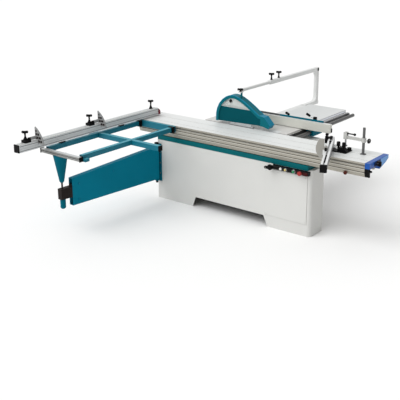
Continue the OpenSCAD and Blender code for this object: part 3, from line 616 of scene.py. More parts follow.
def prism(place: Point, axis: Axis, outline: np.ndarray, length: float, edge: float) -> np.ndarray:
    """Extrudes an outline with chamfered ends.

    Four rings: the outline moved in by the chamfer, the outline itself one chamfer further, and both again in
    mirrored order at the other end.

    Args:
        place: where the outline's own origin lies.
        axis: direction of the extrusion.
        outline: anticlockwise points in the axis's two side directions.
        length: length of the extrusion.
        edge: chamfer at both ends.

    Returns:
        Rings of points, shaped (4, points, 3).
    """
    along, side, rise = axis.basis()
    inner = inset(outline, edge)
    levels = ((inner, 0.0), (outline, edge), (outline, length - edge), (inner, length))
    return np.stack([np.asarray(place, float) + flat[:, :1] * side + flat[:, 1:] * rise + level * along
                     for flat, level in levels])


def rounded(width: float, height: float, radius: float, steps: int = 4) -> np.ndarray:
    """Draws a centred rectangle with round corners, each a quarter circle about its own middle.

    Args:
        width: full width.
        height: full height.
        radius: radius of the corners.
        steps: points in each corner.

    Returns:
        Anticlockwise points, shaped (4 * steps, 2).
    """
    signs = np.array([(1, 1), (-1, 1), (-1, -1), (1, -1)])
    middle = signs * (width / 2.0 - radius, height / 2.0 - radius)
    angle = np.linspace(0.0, np.pi / 2.0, steps) + np.arange(4)[:, None] * np.pi / 2.0
    corners = middle[:, None, :] + radius * np.stack((np.cos(angle), np.sin(angle)), axis=-1)
    return corners.reshape(-1, 2)


def slab(low: Point, high: Point, axis: Axis = Axis.Z, edge: float = 1.0, corner: float = 2.0) -> np.ndarray:
    """Makes a block between two corners: a rounded rectangle extruded with chamfered ends.

    Along a minus axis the length counts as negative. The rim then stands out past the ends by the chamfer,
    which leaves the two end faces dished.

    Args:
        low: lowest corner.
        high: highest corner.
        axis: direction that the block is extruded along.
        edge: chamfer at both ends, at most the radius of the long edges.
        corner: radius of the long edges, at most 0.4 of the thinner side.

    Returns:
        Rings of points, shaped (4, points, 3).
    """
    low, high = np.asarray(low, float), np.asarray(high, float)
    along, side, rise = axis.basis()
    size = high - low
    length, width, height = size @ along, size @ side, size @ rise
    start = (low + high) / 2.0 - along * length / 2.0
    bend = min(corner, 0.4 * min(width, height))
    return prism(start, axis, rounded(width, height, bend), length, min(edge, bend))


def drawn(path: np.ndarray, radii: np.ndarray, around: int) -> np.ndarray:
    """Draws a round bar along a path: a circle square to the path round each of its points.

    Args:
        path: points, shaped (count, 3).
        radii: the bar's radius at each point.
        around: points round each ring.

    Returns:
        Rings of points, shaped (count, around, 3).
    """
    skew = (0.31, 0.17, 0.93)
    ahead = np.gradient(path, axis=0)
    ahead /= np.linalg.norm(ahead, axis=1, keepdims=True)
    side = np.cross(ahead, skew)
    side /= np.linalg.norm(side, axis=1, keepdims=True)
    rise = np.cross(side, ahead)
    angle = np.linspace(0.0, 2.0 * np.pi, around, endpoint=False)[None, :, None]
    circle = np.cos(angle) * side[:, None, :] + np.sin(angle) * rise[:, None, :]
    return path[:, None, :] + radii[:, None, None] * circle


def scaled(profile: Profile, radius: float, length: float = 1.0) -> list[Span]:
    """Returns a profile with its radii and lengths multiplied by a size each."""
    return [(radius * r, length * s) for r, s in profile]


def socket_screw(place: Point, axis: Axis, radius: float) -> np.ndarray:
    """Returns a cap screw's head with its round socket, standing on a face."""
    head = ((1.0, -0.2), (1.0, 0.75), (0.88, 0.9), (0.55, 0.9), (0.5, 0.35), (0.05, 0.3))
    return turned(place, axis, scaled(head, radius, radius), around=20)


def dome(place: Point, axis: Axis, radius: float, rise: float, collar: float) -> np.ndarray:
    """Makes a domed cap: a half ellipse turned round its axis, with a straight collar behind it.

    Its radius at a share of the rise is radius * sqrt(1 - share^2). A small flat is left on top.

    Args:
        place: middle of the dome's foot.
        axis: direction that the dome looks in.
        radius: radius of the foot.
        rise: height of the dome.
        collar: how far the collar reaches back over what it covers.

    Returns:
        Rings of points.
    """
    step = np.linspace(0.0, 0.97, 7)
    curve = np.stack((radius * np.sqrt(1.0 - step * step), rise * step), axis=1)
    return turned(place, axis, [(radius, -collar), *curve], around=32)


def ring(place: Point, axis: Axis, inner: float, outer: float, height: float) -> np.ndarray:
    """Makes a bezel that leaves its middle free: a chamfered rectangle turned round its axis.

    Args:
        place: middle of the bezel's back.
        axis: direction that the bezel looks in.
        inner: radius of the free middle.
        outer: radius of the rim.
        height: height of the bezel.

    Returns:
        Rings of points, of which the last is the first one again.
    """
    lip = min(1.5, (outer - inner) / 3.0)
    profile = ((inner, 0.0), (outer, 0.0), (outer, height - lip), (outer - lip, height),
               (inner + lip, height), (inner, height - lip), (inner, 0.0))
    return turned(place, axis, profile, around=36)


@dataclass(frozen=True)
class Turn:
    """A local frame turned about Z, such as that of the swing arm or the mitre fence."""

    origin: Triple
    degrees: float

    def lift(self, stack: np.ndarray) -> np.ndarray:
        """Turns local points anticlockwise about Z and moves them to the origin.

        Args:
            stack: points in the local frame.

        Returns:
            The points in the part's frame.
        """
        cos, sin = math.cos(math.radians(self.degrees)), math.sin(math.radians(self.degrees))
        spin = np.array([[cos, sin, 0.0], [-sin, cos, 0.0], [0.0, 0.0, 1.0]])
        return stack @ spin + np.asarray(self.origin)


def tee_knob(place: Point, height: float, foot: float = 21.0, degrees: float = 37.0) -> list[np.ndarray]:
    """Makes a tee knob that stands on a level face.

    The stem is a profile turned round Z. The bar is one turned round X, waisted beside the stem and round at
    both ends, and then turned about Z.

    Args:
        place: middle of the knob's conical foot.
        height: from the foot to the middle of the bar.
        foot: radius of the conical foot.
        degrees: how far the bar is turned from +X towards +Y.

    Returns:
        The rings of the stem and of the bar.
    """
    bar_radius, bar_half = 10.0, 29.0
    cone = min(40.0, 0.45 * height)
    stem = ((4.0, 0.0), (foot, 0.0), (foot, 0.14 * cone), (0.5 * foot + 4.0, 0.45 * cone), (9.0, 0.9 * cone),
            (8.0, cone), (8.0, height - 0.8 * cone), (10.0, height - 0.5 * cone), (16.0, height - 5.0),
            (16.0, height), (2.0, height + 1.0))
    half = ((1.18, 0.0), (1.12, 0.35), (1.28, 0.75), (1.22, 0.97), (0.85, 1.06), (0.35, 1.08))
    shape = [(r, -s) for r, s in half[:0:-1]] + list(half)
    x, y, z = place
    bar = turned((0.0, 0.0, 0.0), Axis.X, scaled(shape, bar_radius, bar_half), around=24)
    return [turned(place, Axis.Z, stem, around=28), Turn((x, y, z + height), degrees).lift(bar)]


def sewn(stacks: Iterable[np.ndarray]) -> tuple[np.ndarray, list[list[int]]]:
    """Sews stacks of rings into closed skins.

    Each ring is joined to the next by a band of quads. Both ends get a face. Where the last ring is the first
    one again, the skin is sewn round to its start instead.

    Args:
        stacks: arrays of points, shaped (rings, points, 3).

    Returns:
        All points, and the faces as lists of point numbers.
    """
    points: list[np.ndarray] = []
    faces: list[list[int]] = []
    start = 0
    for stack in stacks:
        hoop = np.allclose(stack[0], stack[-1])
        rings = stack[:-1] if hoop else stack
        index = start + np.arange(rings[..., 0].size).reshape(rings.shape[:2])
        low, high = (index, np.roll(index, -1, axis=0)) if hoop else (index[:-1], index[1:])
        quads = np.stack((low, np.roll(low, -1, axis=1), np.roll(high, -1, axis=1), high), axis=-1)
        faces += quads.reshape(-1, 4).tolist()
        if not hoop:
            faces += [index[0, ::-1].tolist(), index[-1].tolist()]
        points.append(rings.reshape(-1, 3))
        start += index.size
    return np.concatenate(points), faces


class Box(NamedTuple):
    """The spans of a node along X, Y and Z, in millimetres."""

    x: Span
    y: Span
    z: Span

    def middle(self) -> tuple[float, ...]:
        """Returns the middle of the box."""
        return tuple((low + high) / 2.0 for low, high in self)


class Workshop:
    """Makes pieces from stacks of rings, dresses them and lets each ride on a body."""

    def __init__(self, frame: dict) -> None:
        """Keeps the loaded frame.
        """
        behaviour = frame["record"]["behaviour"]
        self.nodes = frame["nodes"]
        self.joints = {joint["name"]: joint for joint in behaviour["joints"]}
        self.body_of = {node: body for body, members in behaviour["bodies"].items() for node in members}
        self.slot_of = {part["node"]: part["material_slot"] for part in frame["record"]["subparts"]}
        self.rack = FinishRack()

    def box(self, node: str) -> Box:
        """Measures a CAD node.

        Args:
            node: name of the node.

        Returns:
            Its least and greatest coordinates, to a hundredth of a millimetre.
        """
        mesh = self.nodes[node].data
        points = np.empty(3 * len(mesh.vertices))
        mesh.vertices.foreach_get("co", points)
        points = np.round(points.reshape(-1, 3) / MM, 2)
        return Box(*zip(points.min(axis=0).tolist(), points.max(axis=0).tolist()))

    def pivot(self, joint: str) -> tuple[float, ...]:
        """Returns the point on a joint's axis that the frame gives, in millimetres."""
        return tuple(part / MM for part in self.joints[joint]["pos_m"])

    def dress(self) -> None:
        """Hangs the finishes of NODE_FINISH on the CAD nodes."""
        for name, node in self.nodes.items():
            self.rack.hang(node, NODE_FINISH[name])
            LOG.info("dressed %s", name)

    def add(self, name: str, stacks: Iterable[np.ndarray], finish: Finish, body: str, slot: Slot,
            instead_of: str = "") -> None:
        """Makes one piece.

        Args:
            name: name of the piece.
            stacks: its ring stacks in millimetres.
            finish: what it wears.
            body: the CAD body it moves with.
            slot: its material slot; not used.
            instead_of: the CAD node that it stands in for, if any.
        """
        points, faces = sewn(stacks)
        mesh = bpy.data.meshes.new(name)
        mesh.from_pydata((points * MM).tolist(), [], faces)
        work = bmesh.new()
        work.from_mesh(mesh)
        bmesh.ops.recalc_face_normals(work, faces=work.faces)
        piece = self.set_out(mesh, work)
        self.rack.hang(piece, finish)
        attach(piece, body)
        if instead_of:
            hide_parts(instead_of)
        LOG.info("added %s on %s", name, body)

    @staticmethod
    def set_out(mesh: bpy.types.Mesh, work: bmesh.types.BMesh) -> bpy.types.Object:
        """Ends the work on a mesh, smooths it up to sharp edges and puts it into the scene.

        Args:
            mesh: the mesh that gets the work.
            work: the worked copy, which is freed.

        Returns:
            The new object at the origin.
        """
        work.to_mesh(mesh)
        work.free()
        mesh.shade_smooth()
        mesh.set_sharp_from_angle(angle=SHARP_ANGLE)
        piece = bpy.data.objects.new(mesh.name, mesh)
        bpy.context.scene.collection.objects.link(piece)
        return piece

    def soften(self, node: str, width: float) -> None:
        """Stands a copy with broken edges in for a CAD node: merged, freed of flat edges and bevelled.

        Args:
            node: the CAD node.
            width: width of the broken edge in millimetres.
        """
        mesh = self.nodes[node].data.copy()
        mesh.name = f"{node}_broken_edges"
        work = bmesh.new()
        work.from_mesh(mesh)
        bmesh.ops.remove_doubles(work, verts=work.verts, dist=MERGE_DISTANCE)
        bmesh.ops.dissolve_limit(work, angle_limit=FLAT_ANGLE, verts=work.verts, edges=work.edges)
        piece = self.set_out(mesh, work)
        bevel = piece.modifiers.new("broken_edges", "BEVEL")
        bevel.width = width * MM
        bevel.segments = 2
        bevel.limit_method = "ANGLE"
        bevel.angle_limit = SHARP_ANGLE
        bevel.use_clamp_overlap = True
        bevel.harden_normals = True
        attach(piece, self.body_of[node])
        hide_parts(node)
        LOG.info("broke the edges of %s", node)


@dataclass
class Unit(ABC):
    """A sub-assembly: its sizes are fields in millimetres, and its methods make and dress its pieces."""

    shop: Workshop
    broken_edges: Edges = ()

    @abstractmethod
    def make(self) -> None:
        """Makes the pieces of the unit."""

    def build(self) -> None:
        """Makes the pieces, then breaks the edges of the unit's nodes."""
        self.make()
        for node, width in self.broken_edges:
            self.shop.soften(node, width)


@dataclass
class Cabinet(Unit):
    """Seam and screws of the front panel, the seam's grey painted as shade of the panel gap, and the broken
    edges of the welded sheet work.
    """

    broken_edges: Edges = (("base_cabinet", 4.0), ("front_panel", 1.5), ("control_panel", 2.0))
    gap: float = 3.0
    seam_depth: Span = (-1.5, 0.2)
    screw_inset: float = 18.0
    screw_radius: float = 5.0

    def make(self) -> None:
        """Adds the seam as four thin grey bars round the panel, painted shade of the gap, and a screw at each
        corner.
        """
        (x0, x1), _, (z0, z1) = self.shop.box("front_panel")
        skin = self.shop.box("base_cabinet").y[0]
        gap, (front, back) = self.gap, self.seam_depth
        bars = ((x0 - gap, z0 - gap, x1 + gap, z0), (x0 - gap, z1, x1 + gap, z1 + gap),
                (x0 - gap, z0, x0, z1), (x1, z0, x1 + gap, z1))
        seam = [slab((left, skin + front, low), (right, skin + back, high), Axis.Y, 0.5, 0.6)
                for left, low, right, high in bars]
        self.shop.add("panel_seam", seam, SEAM_SHADE_GREY, "base", Slot.GREY)
        inset_by, radius = self.screw_inset, self.screw_radius
        screws = [socket_screw((x, skin - radius, z), Axis.MINUS_Y, radius)
                  for x in (x0 + inset_by, x1 - inset_by) for z in (z0 + inset_by, z1 - inset_by)]
        self.shop.add("panel_screws", screws, CREAM, "base", Slot.CREAM)


@dataclass
class ControlStrip(Unit):
    """Bezels, lenses, caps and the selector's grip on the dark control strip."""

    seat: float = 6.0
    bezel_height: float = 7.0
    lamp_bezel: Span = (11.8, 16.0)
    green_bezel: Span = (14.2, 19.5)
    lamp_radius: float = 11.0
    lens: Triple = (11.5, 5.0, 5.0)
    green_cap: Triple = (13.6, 3.5, 2.0)
    red_cap: Triple = (21.6, 7.0, 15.0)
    stop_gap: float = 1.5
    stop_reach: Span = (42.0, 80.0)
    stop_rise: Span = (-17.0, 15.0)
    stop_depth: Span = (-2.5, 8.0)
    knob_seat: float = 21.6
    mark_reach: Span = (4.0, 20.0)
    plate_x: Span = (-22.0, 20.0)
    plate_y: Span = (8.0, 13.5)
    plate_z: Span = (7.0, 35.0)
    handle_reach: Span = (-50.0, 30.0)
    handle_half: float = 12.0
    handle_depth: Span = (-15.0, 2.0)

    def make(self) -> None:
        """Adds the bezels, the two lenses, the caps of both buttons and the plates beside the red one."""
        add, out = self.shop.add, Axis.MINUS_Y
        strip = self.shop.box("control_panel").y[0]
        lamps, green, red = map(self.shop.box, ("indicator_lamps", "button_green", "button_red"))
        green_x, _, z = green.middle()
        red_x = red.middle()[0]
        lamp_x = (lamps.x[0] + self.lamp_radius, lamps.x[1] - self.lamp_radius)
        row = ((lamp_x[0], self.lamp_bezel), (lamp_x[1], self.lamp_bezel), (green_x, self.green_bezel))
        bezels = [ring((x, strip + self.seat, z), out, *rims, self.bezel_height) for x, rims in row]
        add("control_bezels", bezels, STEEL, "base", Slot.STEEL)
        for name, x, finish in zip(("white_lens", "amber_lens"), lamp_x, (WHITE_LENS, AMBER_LENS)):
            add(name, [dome((x, lamps.y[0] + 0.4, z), out, *self.lens)], finish, "base", Slot.LAMP)
        cap = dome((green_x, green.y[0] + 0.4, z), out, *self.green_cap)
        add("green_cap", [cap], GREEN_LENS, "green", Slot.GREEN)
        (low, high), (front, back), gap = self.stop_rise, self.stop_depth, self.stop_gap
        halves = ((red_x - self.stop_reach[0], red.x[0] - gap), (red.x[1] + gap, red_x + self.stop_reach[1]))
        plates = [slab((left, strip + front, z + low), (right, strip + back, z + high), out, 1.0, 5.0)
                  for left, right in halves]
        add("stop_plate", plates, DARK_RED, "base", Slot.RED)
        cap = dome((red_x, red.y[0] + 1.0, z), out, *self.red_cap)
        add("red_cap", [cap], RED_LENS, "red", Slot.RED)
        self.selector(strip)

    def selector(self, strip: float) -> None:
        """Adds the selector's lobed body, its handle with a pale mark, and the pale plate behind it.

        Args:
            strip: Y of the strip's foremost edge.
        """
        knob_box, out = self.shop.box("selector_knob"), Axis.MINUS_Y
        x, _, z = knob_box.middle()
        face, half = knob_box.y[0], self.handle_half
        body = ((18.0, 0.0), (27.4, 1.0), (28.0, 6.0), (28.0, 18.0), (25.0, 22.0), (2.0, 22.6))
        knob = turned((x, face + self.knob_seat, z), out, body, around=48, lobes=12, depth=0.03)
        (left, right), (front, back) = self.handle_reach, self.handle_depth
        handle = slab((x + left, face + front, z - half), (x + right, face + back, z + half), out, 2.0, 8.0)
        self.shop.add("selector_grip", [knob, handle], BLACK, "selector", Slot.BLACK)
        start, end = (x + left + reach for reach in self.mark_reach)
        tip = face + front
        mark = slab((start, tip - 0.6, z - 1.0), (end, tip + 0.2, z + 1.0), out, 0.2, 0.6)
        self.shop.add("selector_mark", [mark], WHITE_LENS, "selector", Slot.LAMP)
        low, high = ((x + right, strip + back, z + up) for right, back, up in
                     zip(self.plate_x, self.plate_y, self.plate_z))
        plate = slab(low, high, out, 0.8, 5.0)
        self.shop.add("selector_plate", [plate], WHITE_LENS, "base", Slot.LAMP)


@dataclass
class SlidingTable(Unit):
    """Grip, lock knob and end plate fittings that travel with the sliding table, and the painted shadow and
    highlight lines of its side grooves.
    """

    broken_edges: Edges = (
        ("end_plate", 1.8), ("end_caps", 1.5), ("lower_rail", 0.8), ("guide_beam", 2.0), ("push_handle", 1.0))
    grip_inset: float = 11.0
    lock_seat: float = 18.4
    cap_offset: Triple = (-5.0, 14.0, 23.0)
    slots: Span = (68.0, 230.0)
    slot_width: float = 20.0
    slot_gap: float = 0.4
    cover_depth: Span = (14.0, 0.8)
    groove_tops: Span = (52.0, 88.0)
    groove_height: float = 7.0
    highlight_height: float = 6.0
    recess_y: Span = (-57.0, 75.0)
    recess_z: Span = (-51.0, -7.0)
    wing: tuple[Span, ...] = ((-169.0, -90.0), (-158.0, -89.0), (-61.0, -60.0), (-4.0, -33.0), (-4.0, -4.0),
                              (-169.0, -4.0))

    def make(self) -> None:
        """Adds the grip on the push handle, the star of the lock and the star on the end cap."""
        handle, lock, plate = map(self.shop.box, ("push_handle", "lock_knob", "end_plate"))
        half = ((14.8, 2.0), (13.4, 11.0), (14.6, 20.0), (12.0, 23.4), (6.0, 24.0))
        grip = [(r, 24.0 - s) for r, s in half[::-1]] + [(r, 24.0 + s) for r, s in half]
        grip_place = (handle.x[1] - self.grip_inset, handle.middle()[1], handle.z[0] - 1.0)
        self.shop.add("push_grip", [turned(grip_place, Axis.Z, grip, around=32)], BLACK, "table", Slot.BLACK)
        star = ((8.0, 0.0), (16.6, 0.8), (18.0, 4.0), (18.0, 13.0), (15.4, 18.0), (9.0, 19.0), (8.0, 17.6),
                (1.0, 17.4))
        lock_place = (lock.middle()[0], lock.y[0] + self.lock_seat, lock.middle()[2])
        lock_star = turned(lock_place, Axis.MINUS_Y, star, around=60, lobes=6, depth=0.06)
        self.shop.add("lock_star", [lock_star], BROWN, "lock", Slot.BROWN)
        small = ((4.0, 4.0), (9.6, 4.6), (10.4, 8.0), (10.4, 18.0), (8.0, 22.4), (1.0, 22.8))
        right, back, up = self.cap_offset
        cap_place = (plate.x[1] + right, plate.y[0] + back, plate.z[0] + up)
        cap_star = turned(cap_place, Axis.X, small, around=40, lobes=5, depth=0.05)
        self.shop.add("cap_star", [cap_star], BLACK, "table", Slot.BLACK)
        self.plate(plate, handle.middle()[1])
        self.lines()

    def plate(self, plate: Box, grip_y: float) -> None:
        """Adds a dark navy patch behind the grip, painted shade of the grip's recess, and the lighter wing of
        the moulded end plate.

        Args:
            plate: box of the end plate.
            grip_y: Y of the grip.
        """
        face, top = plate.x[1], plate.z[1]
        (y0, y1), (z0, z1) = self.recess_y, self.recess_z
        low, high = (face - 1.0, grip_y + y0, top + z0), (face + 1.4, grip_y + y1, top + z1)
        recess = slab(low, high, Axis.X, 0.6, 10.0)
        self.shop.add("grip_recess", [recess], RECESS_SHADE, "table", Slot.DARK)
        wing = prism((face - 0.6, plate.y[1], top), Axis.X, np.array(self.wing), 1.4, 0.4)
        self.shop.add("plate_wing", [wing], LIGHT_BLUE, "table", Slot.BLUE)

    def lines(self) -> None:
        """Adds the cover strips of both top slots, and for each side groove a dark line of painted shadow
        with a pale line of painted highlight under it.
        """
        (x0, x1), (near, _), (_, top) = self.shop.box("carriage")
        start, end, gap = x0 + 1.0, x1 - 1.0, self.slot_gap
        low, high = (top - depth for depth in self.cover_depth)
        sides = [(near + y + gap, near + y + self.slot_width - gap) for y in self.slots]
        covers = [slab((start, y0, low), (end, y1, high), Axis.X, 0.3, 0.3) for y0, y1 in sides]
        self.shop.add("slot_covers", covers, TABLE_ALU, "table", Slot.ALUMINIUM)
        # Dark strips are painted groove shadow; the pale strips under them are painted highlight.
        rows = (("groove_shadow_lines", GROOVE_SHADOW, 0.0, self.groove_height),
                ("groove_highlight_lines", GROOVE_HIGHLIGHT, self.groove_height + 1.0, self.highlight_height))
        for name, finish, drop, height in rows:
            rims = [top - groove - drop for groove in self.groove_tops]
            strips = [slab((start, near - 0.4, rim - height), (end, near + 2.0, rim), Axis.X, 0.3, 0.3)
                      for rim in rims]
            self.shop.add(name, strips, finish, "table", Slot.ALUMINIUM)


@dataclass
class CrosscutUnit(Unit):
    """Grips, bolts, scale and covers of the crosscut frame, its fence and its swinging arm."""

    broken_edges: Edges = (
        ("end_bar", 1.0), ("hinge_bracket", 1.5), ("swing_arm", 3.0), ("arm_tube", 3.0),
        ("stop_block_1", 2.0), ("stop_block_2", 2.0), ("support_cone", 1.0))
    scale_x: Span = (18.0, 4.0)
    face_lines: Span = (11.0, 58.0)
    line_height: float = 6.0
    cap_radius: float = 77.2
    cap_axis: float = 30.0
    cap_reach: float = 41.2
    cap_sweep: Span = (25.125, 67.0)
    fence_tee_y: float = 85.0
    fence_tee_height: float = 90.0
    stop_tee: Triple = (-8.0, 32.0, 26.0)
    stop_tee_height: float = 76.0
    pin_radius: float = 7.0
    fin_face: float = 140.0
    fin_margin: float = 8.0
    cell_gap: float = 3.0
    fin_axis: float = 130.0
    fin_radius: float = 245.0
    cell_rows: tuple[Span, ...] = ((62.0, 38.0), (96.0, 2.0), (130.0, 2.0), (162.0, 2.0))
    cell_height: float = 22.0
    arm_degrees: float = -3.83
    arm_reach: float = 1318.0
    arm_face: float = 28.0
    arm_bolts: tuple[Span, ...] = ((-1134.0, 472.0), (-675.0, 497.0), (-1136.0, 304.0))
    hinge_bolts: tuple[float, ...] = (300.0, 420.0, 540.0)
    hinge_bolt_offset: Span = (27.0, -12.0)
    hinge_knobs: Span = (-14.0, 6.0)
    bolt_radius: float = 8.0

    def make(self) -> None:
        """Adds the details of the fence, the flip stops and the swinging arm."""
        fence = self.shop.box("crosscut_fence")
        self.fence(fence)
        for number in (1, 2):
            self.flip_stop(number, fence)
        self.swing()

    def fence(self, fence: Box) -> None:
        """Adds the scale, the face lines, the cover of the inner cap with its round back, and the tee knob.

        The cover's back is an arc: axis + radius * (cos(sweep), sin(sweep)), drawn in Y and Z.

        Args:
            fence: box of the fence.
        """
        (x0, x1), (y0, y1), (z0, top) = fence
        left, right = (x1 - edge for edge in self.scale_x)
        strip = slab((left, y0 + 6.0, top - 0.2), (right, y1 - 6.0, top + 0.6), Axis.Y, 0.5, 0.3)
        self.shop.add("fence_scale_strip", [strip], FENCE_SCALE, "table", Slot.GREY)
        rows = [(z0 + line, z0 + line + self.line_height) for line in self.face_lines]
        lines = [slab((x1 - 1.0, y0 + 2.0, low), (x1 + 0.5, y1 - 2.0, high), Axis.Y, 0.3, 0.3)
                 for low, high in rows]
        self.shop.add("fence_face_lines", lines, RAIL_GREY, "table", Slot.GREY)
        sweep = np.radians(np.linspace(*self.cap_sweep, 6))
        arc = self.cap_radius * np.stack((np.cos(sweep), np.sin(sweep)), axis=1) + (y1 - self.cap_axis, z0)
        outline = np.concatenate(([(y1 + 0.2, z0 - 0.8), (y1 + self.cap_reach, z0 - 0.8)], arc))
        cover = prism((x0 - 1.0, 0.0, 0.0), Axis.X, outline, x1 - x0 + 2.0, 1.5)
        self.shop.add("fence_end_cover", [cover], WINE, "table", Slot.BROWN)
        tee = tee_knob((fence.middle()[0], y1 - self.fence_tee_y, top), self.fence_tee_height)
        self.shop.add("fence_tee", tee, BLACK, "table", Slot.BLACK)

    def flip_stop(self, number: int, fence: Box) -> None:
        """Adds a stop's tee knob, dark slabs on its fin painted as the shade of its sunk cells, and its pin
        screw.

        Args:
            number: 1 or 2.
            fence: box of the fence that the stop slides on.
        """
        block, body = self.shop.box(f"stop_block_{number}"), f"stop{number}"
        pin_x, _, pin_z = self.shop.pivot(f"stop_{number}_flip")
        right, back, up = self.stop_tee
        tee_place = (block.middle()[0] + right, block.y[0] + back, fence.z[1] + up)
        tee = tee_knob(tee_place, self.stop_tee_height)
        self.shop.add(f"stop_{number}_tee", tee, BLACK, body, Slot.BLACK)
        cells = self.fin_cells(pin_x, block.y[0] + self.fin_face, fence.z[0])
        # The cells are thin dark slabs: painted shade of the fin's sunk cells.
        self.shop.add(f"fin_{number}_cells", cells, DARK_PAINT, f"fin{number}", Slot.DARK)
        screw = socket_screw((pin_x, block.y[1], pin_z), Axis.Y, self.pin_radius)
        self.shop.add(f"stop_{number}_pin_screw", [screw], STEEL, body, Slot.STEEL)

    def fin_cells(self, pin_x: float, face: float, foot: float) -> list[np.ndarray]:
        """Makes dark slabs on a fin's near face, painted shade of its sunk cells, two in a row.

        A row ends a margin short of the fin's round edge, x = axis + sqrt(radius^2 - height^2) at its top.

        Args:
            pin_x: X of the fin's pin.
            face: Y of the fin's near face.
            foot: Z that the round edge's axis lies at.

        Returns:
            One thin slab for each cell.
        """
        cells = []
        for rise, inset_by in self.cell_rows:
            top = rise + self.cell_height
            left = pin_x + inset_by
            right = pin_x - self.fin_axis + math.sqrt(self.fin_radius ** 2 - top ** 2) - self.fin_margin
            middle = (left + right) / 2.0
            for start, end in ((left, middle - self.cell_gap), (middle + self.cell_gap, right)):
                low, high = (start, face - 0.8, foot + rise), (end, face + 0.4, foot + top)
                cells.append(slab(low, high, Axis.MINUS_Y, 0.3, 3.0))
        return cells

    def swing(self) -> None:
        """Adds the bolts of the swing arm, the knobs and bolts of its hinge, and the sleeve of its foot."""
        x, y, _ = self.shop.pivot("arm_swing")
        arm, bracket = Turn((x, y, 0.0), self.arm_degrees), self.shop.box("hinge_bracket")
        radius = self.bolt_radius
        bolts = [arm.lift(socket_screw((self.arm_face, *spot), Axis.X, radius)) for spot in self.arm_bolts]
        # The bolt heads wear the lighter teal as a painted highlight.
        self.shop.add("arm_bolts", bolts, HIGHLIGHT_TEAL, "arm", Slot.TEAL)
        head = ((4.0, -2.0), (22.0, -1.0), (24.0, 4.0), (23.6, 15.0), (18.0, 20.0), (2.0, 21.0))
        pin = ((4.0, 0.0), (12.0, 0.6), (14.0, 4.0), (14.0, 20.0), (4.0, 21.0))
        above, below = self.hinge_knobs
        knobs = [turned((x, y, bracket.z[1] + above), Axis.Z, head, around=40),
                 turned((x, y, bracket.z[0] + below), Axis.MINUS_Z, pin, around=32)]
        self.shop.add("hinge_knobs", knobs, BLACK, "base", Slot.BLACK)
        bolt_x, bolt_y = self.hinge_bolt_offset
        bolts = [socket_screw((x + bolt_x, bracket.y[1] + bolt_y, z), Axis.MINUS_Y, radius)
                 for z in self.hinge_bolts]
        self.shop.add("hinge_bolts", bolts, DARK_STEEL, "base", Slot.STEEL)
        foot = ((6.0, 0.0), (16.0, -0.8), (18.4, 0.6), (27.0, 10.0), (28.0, 13.0), (28.0, 96.0), (26.6, 99.0),
                (12.0, 99.4))
        low = self.shop.box("arm_tube").z[0]
        sleeve = arm.lift(turned((0.0, -self.arm_reach, low), Axis.Z, foot, around=40))
        self.shop.add("arm_foot_sleeve", [sleeve], TEAL, "arm_inner", Slot.TEAL)


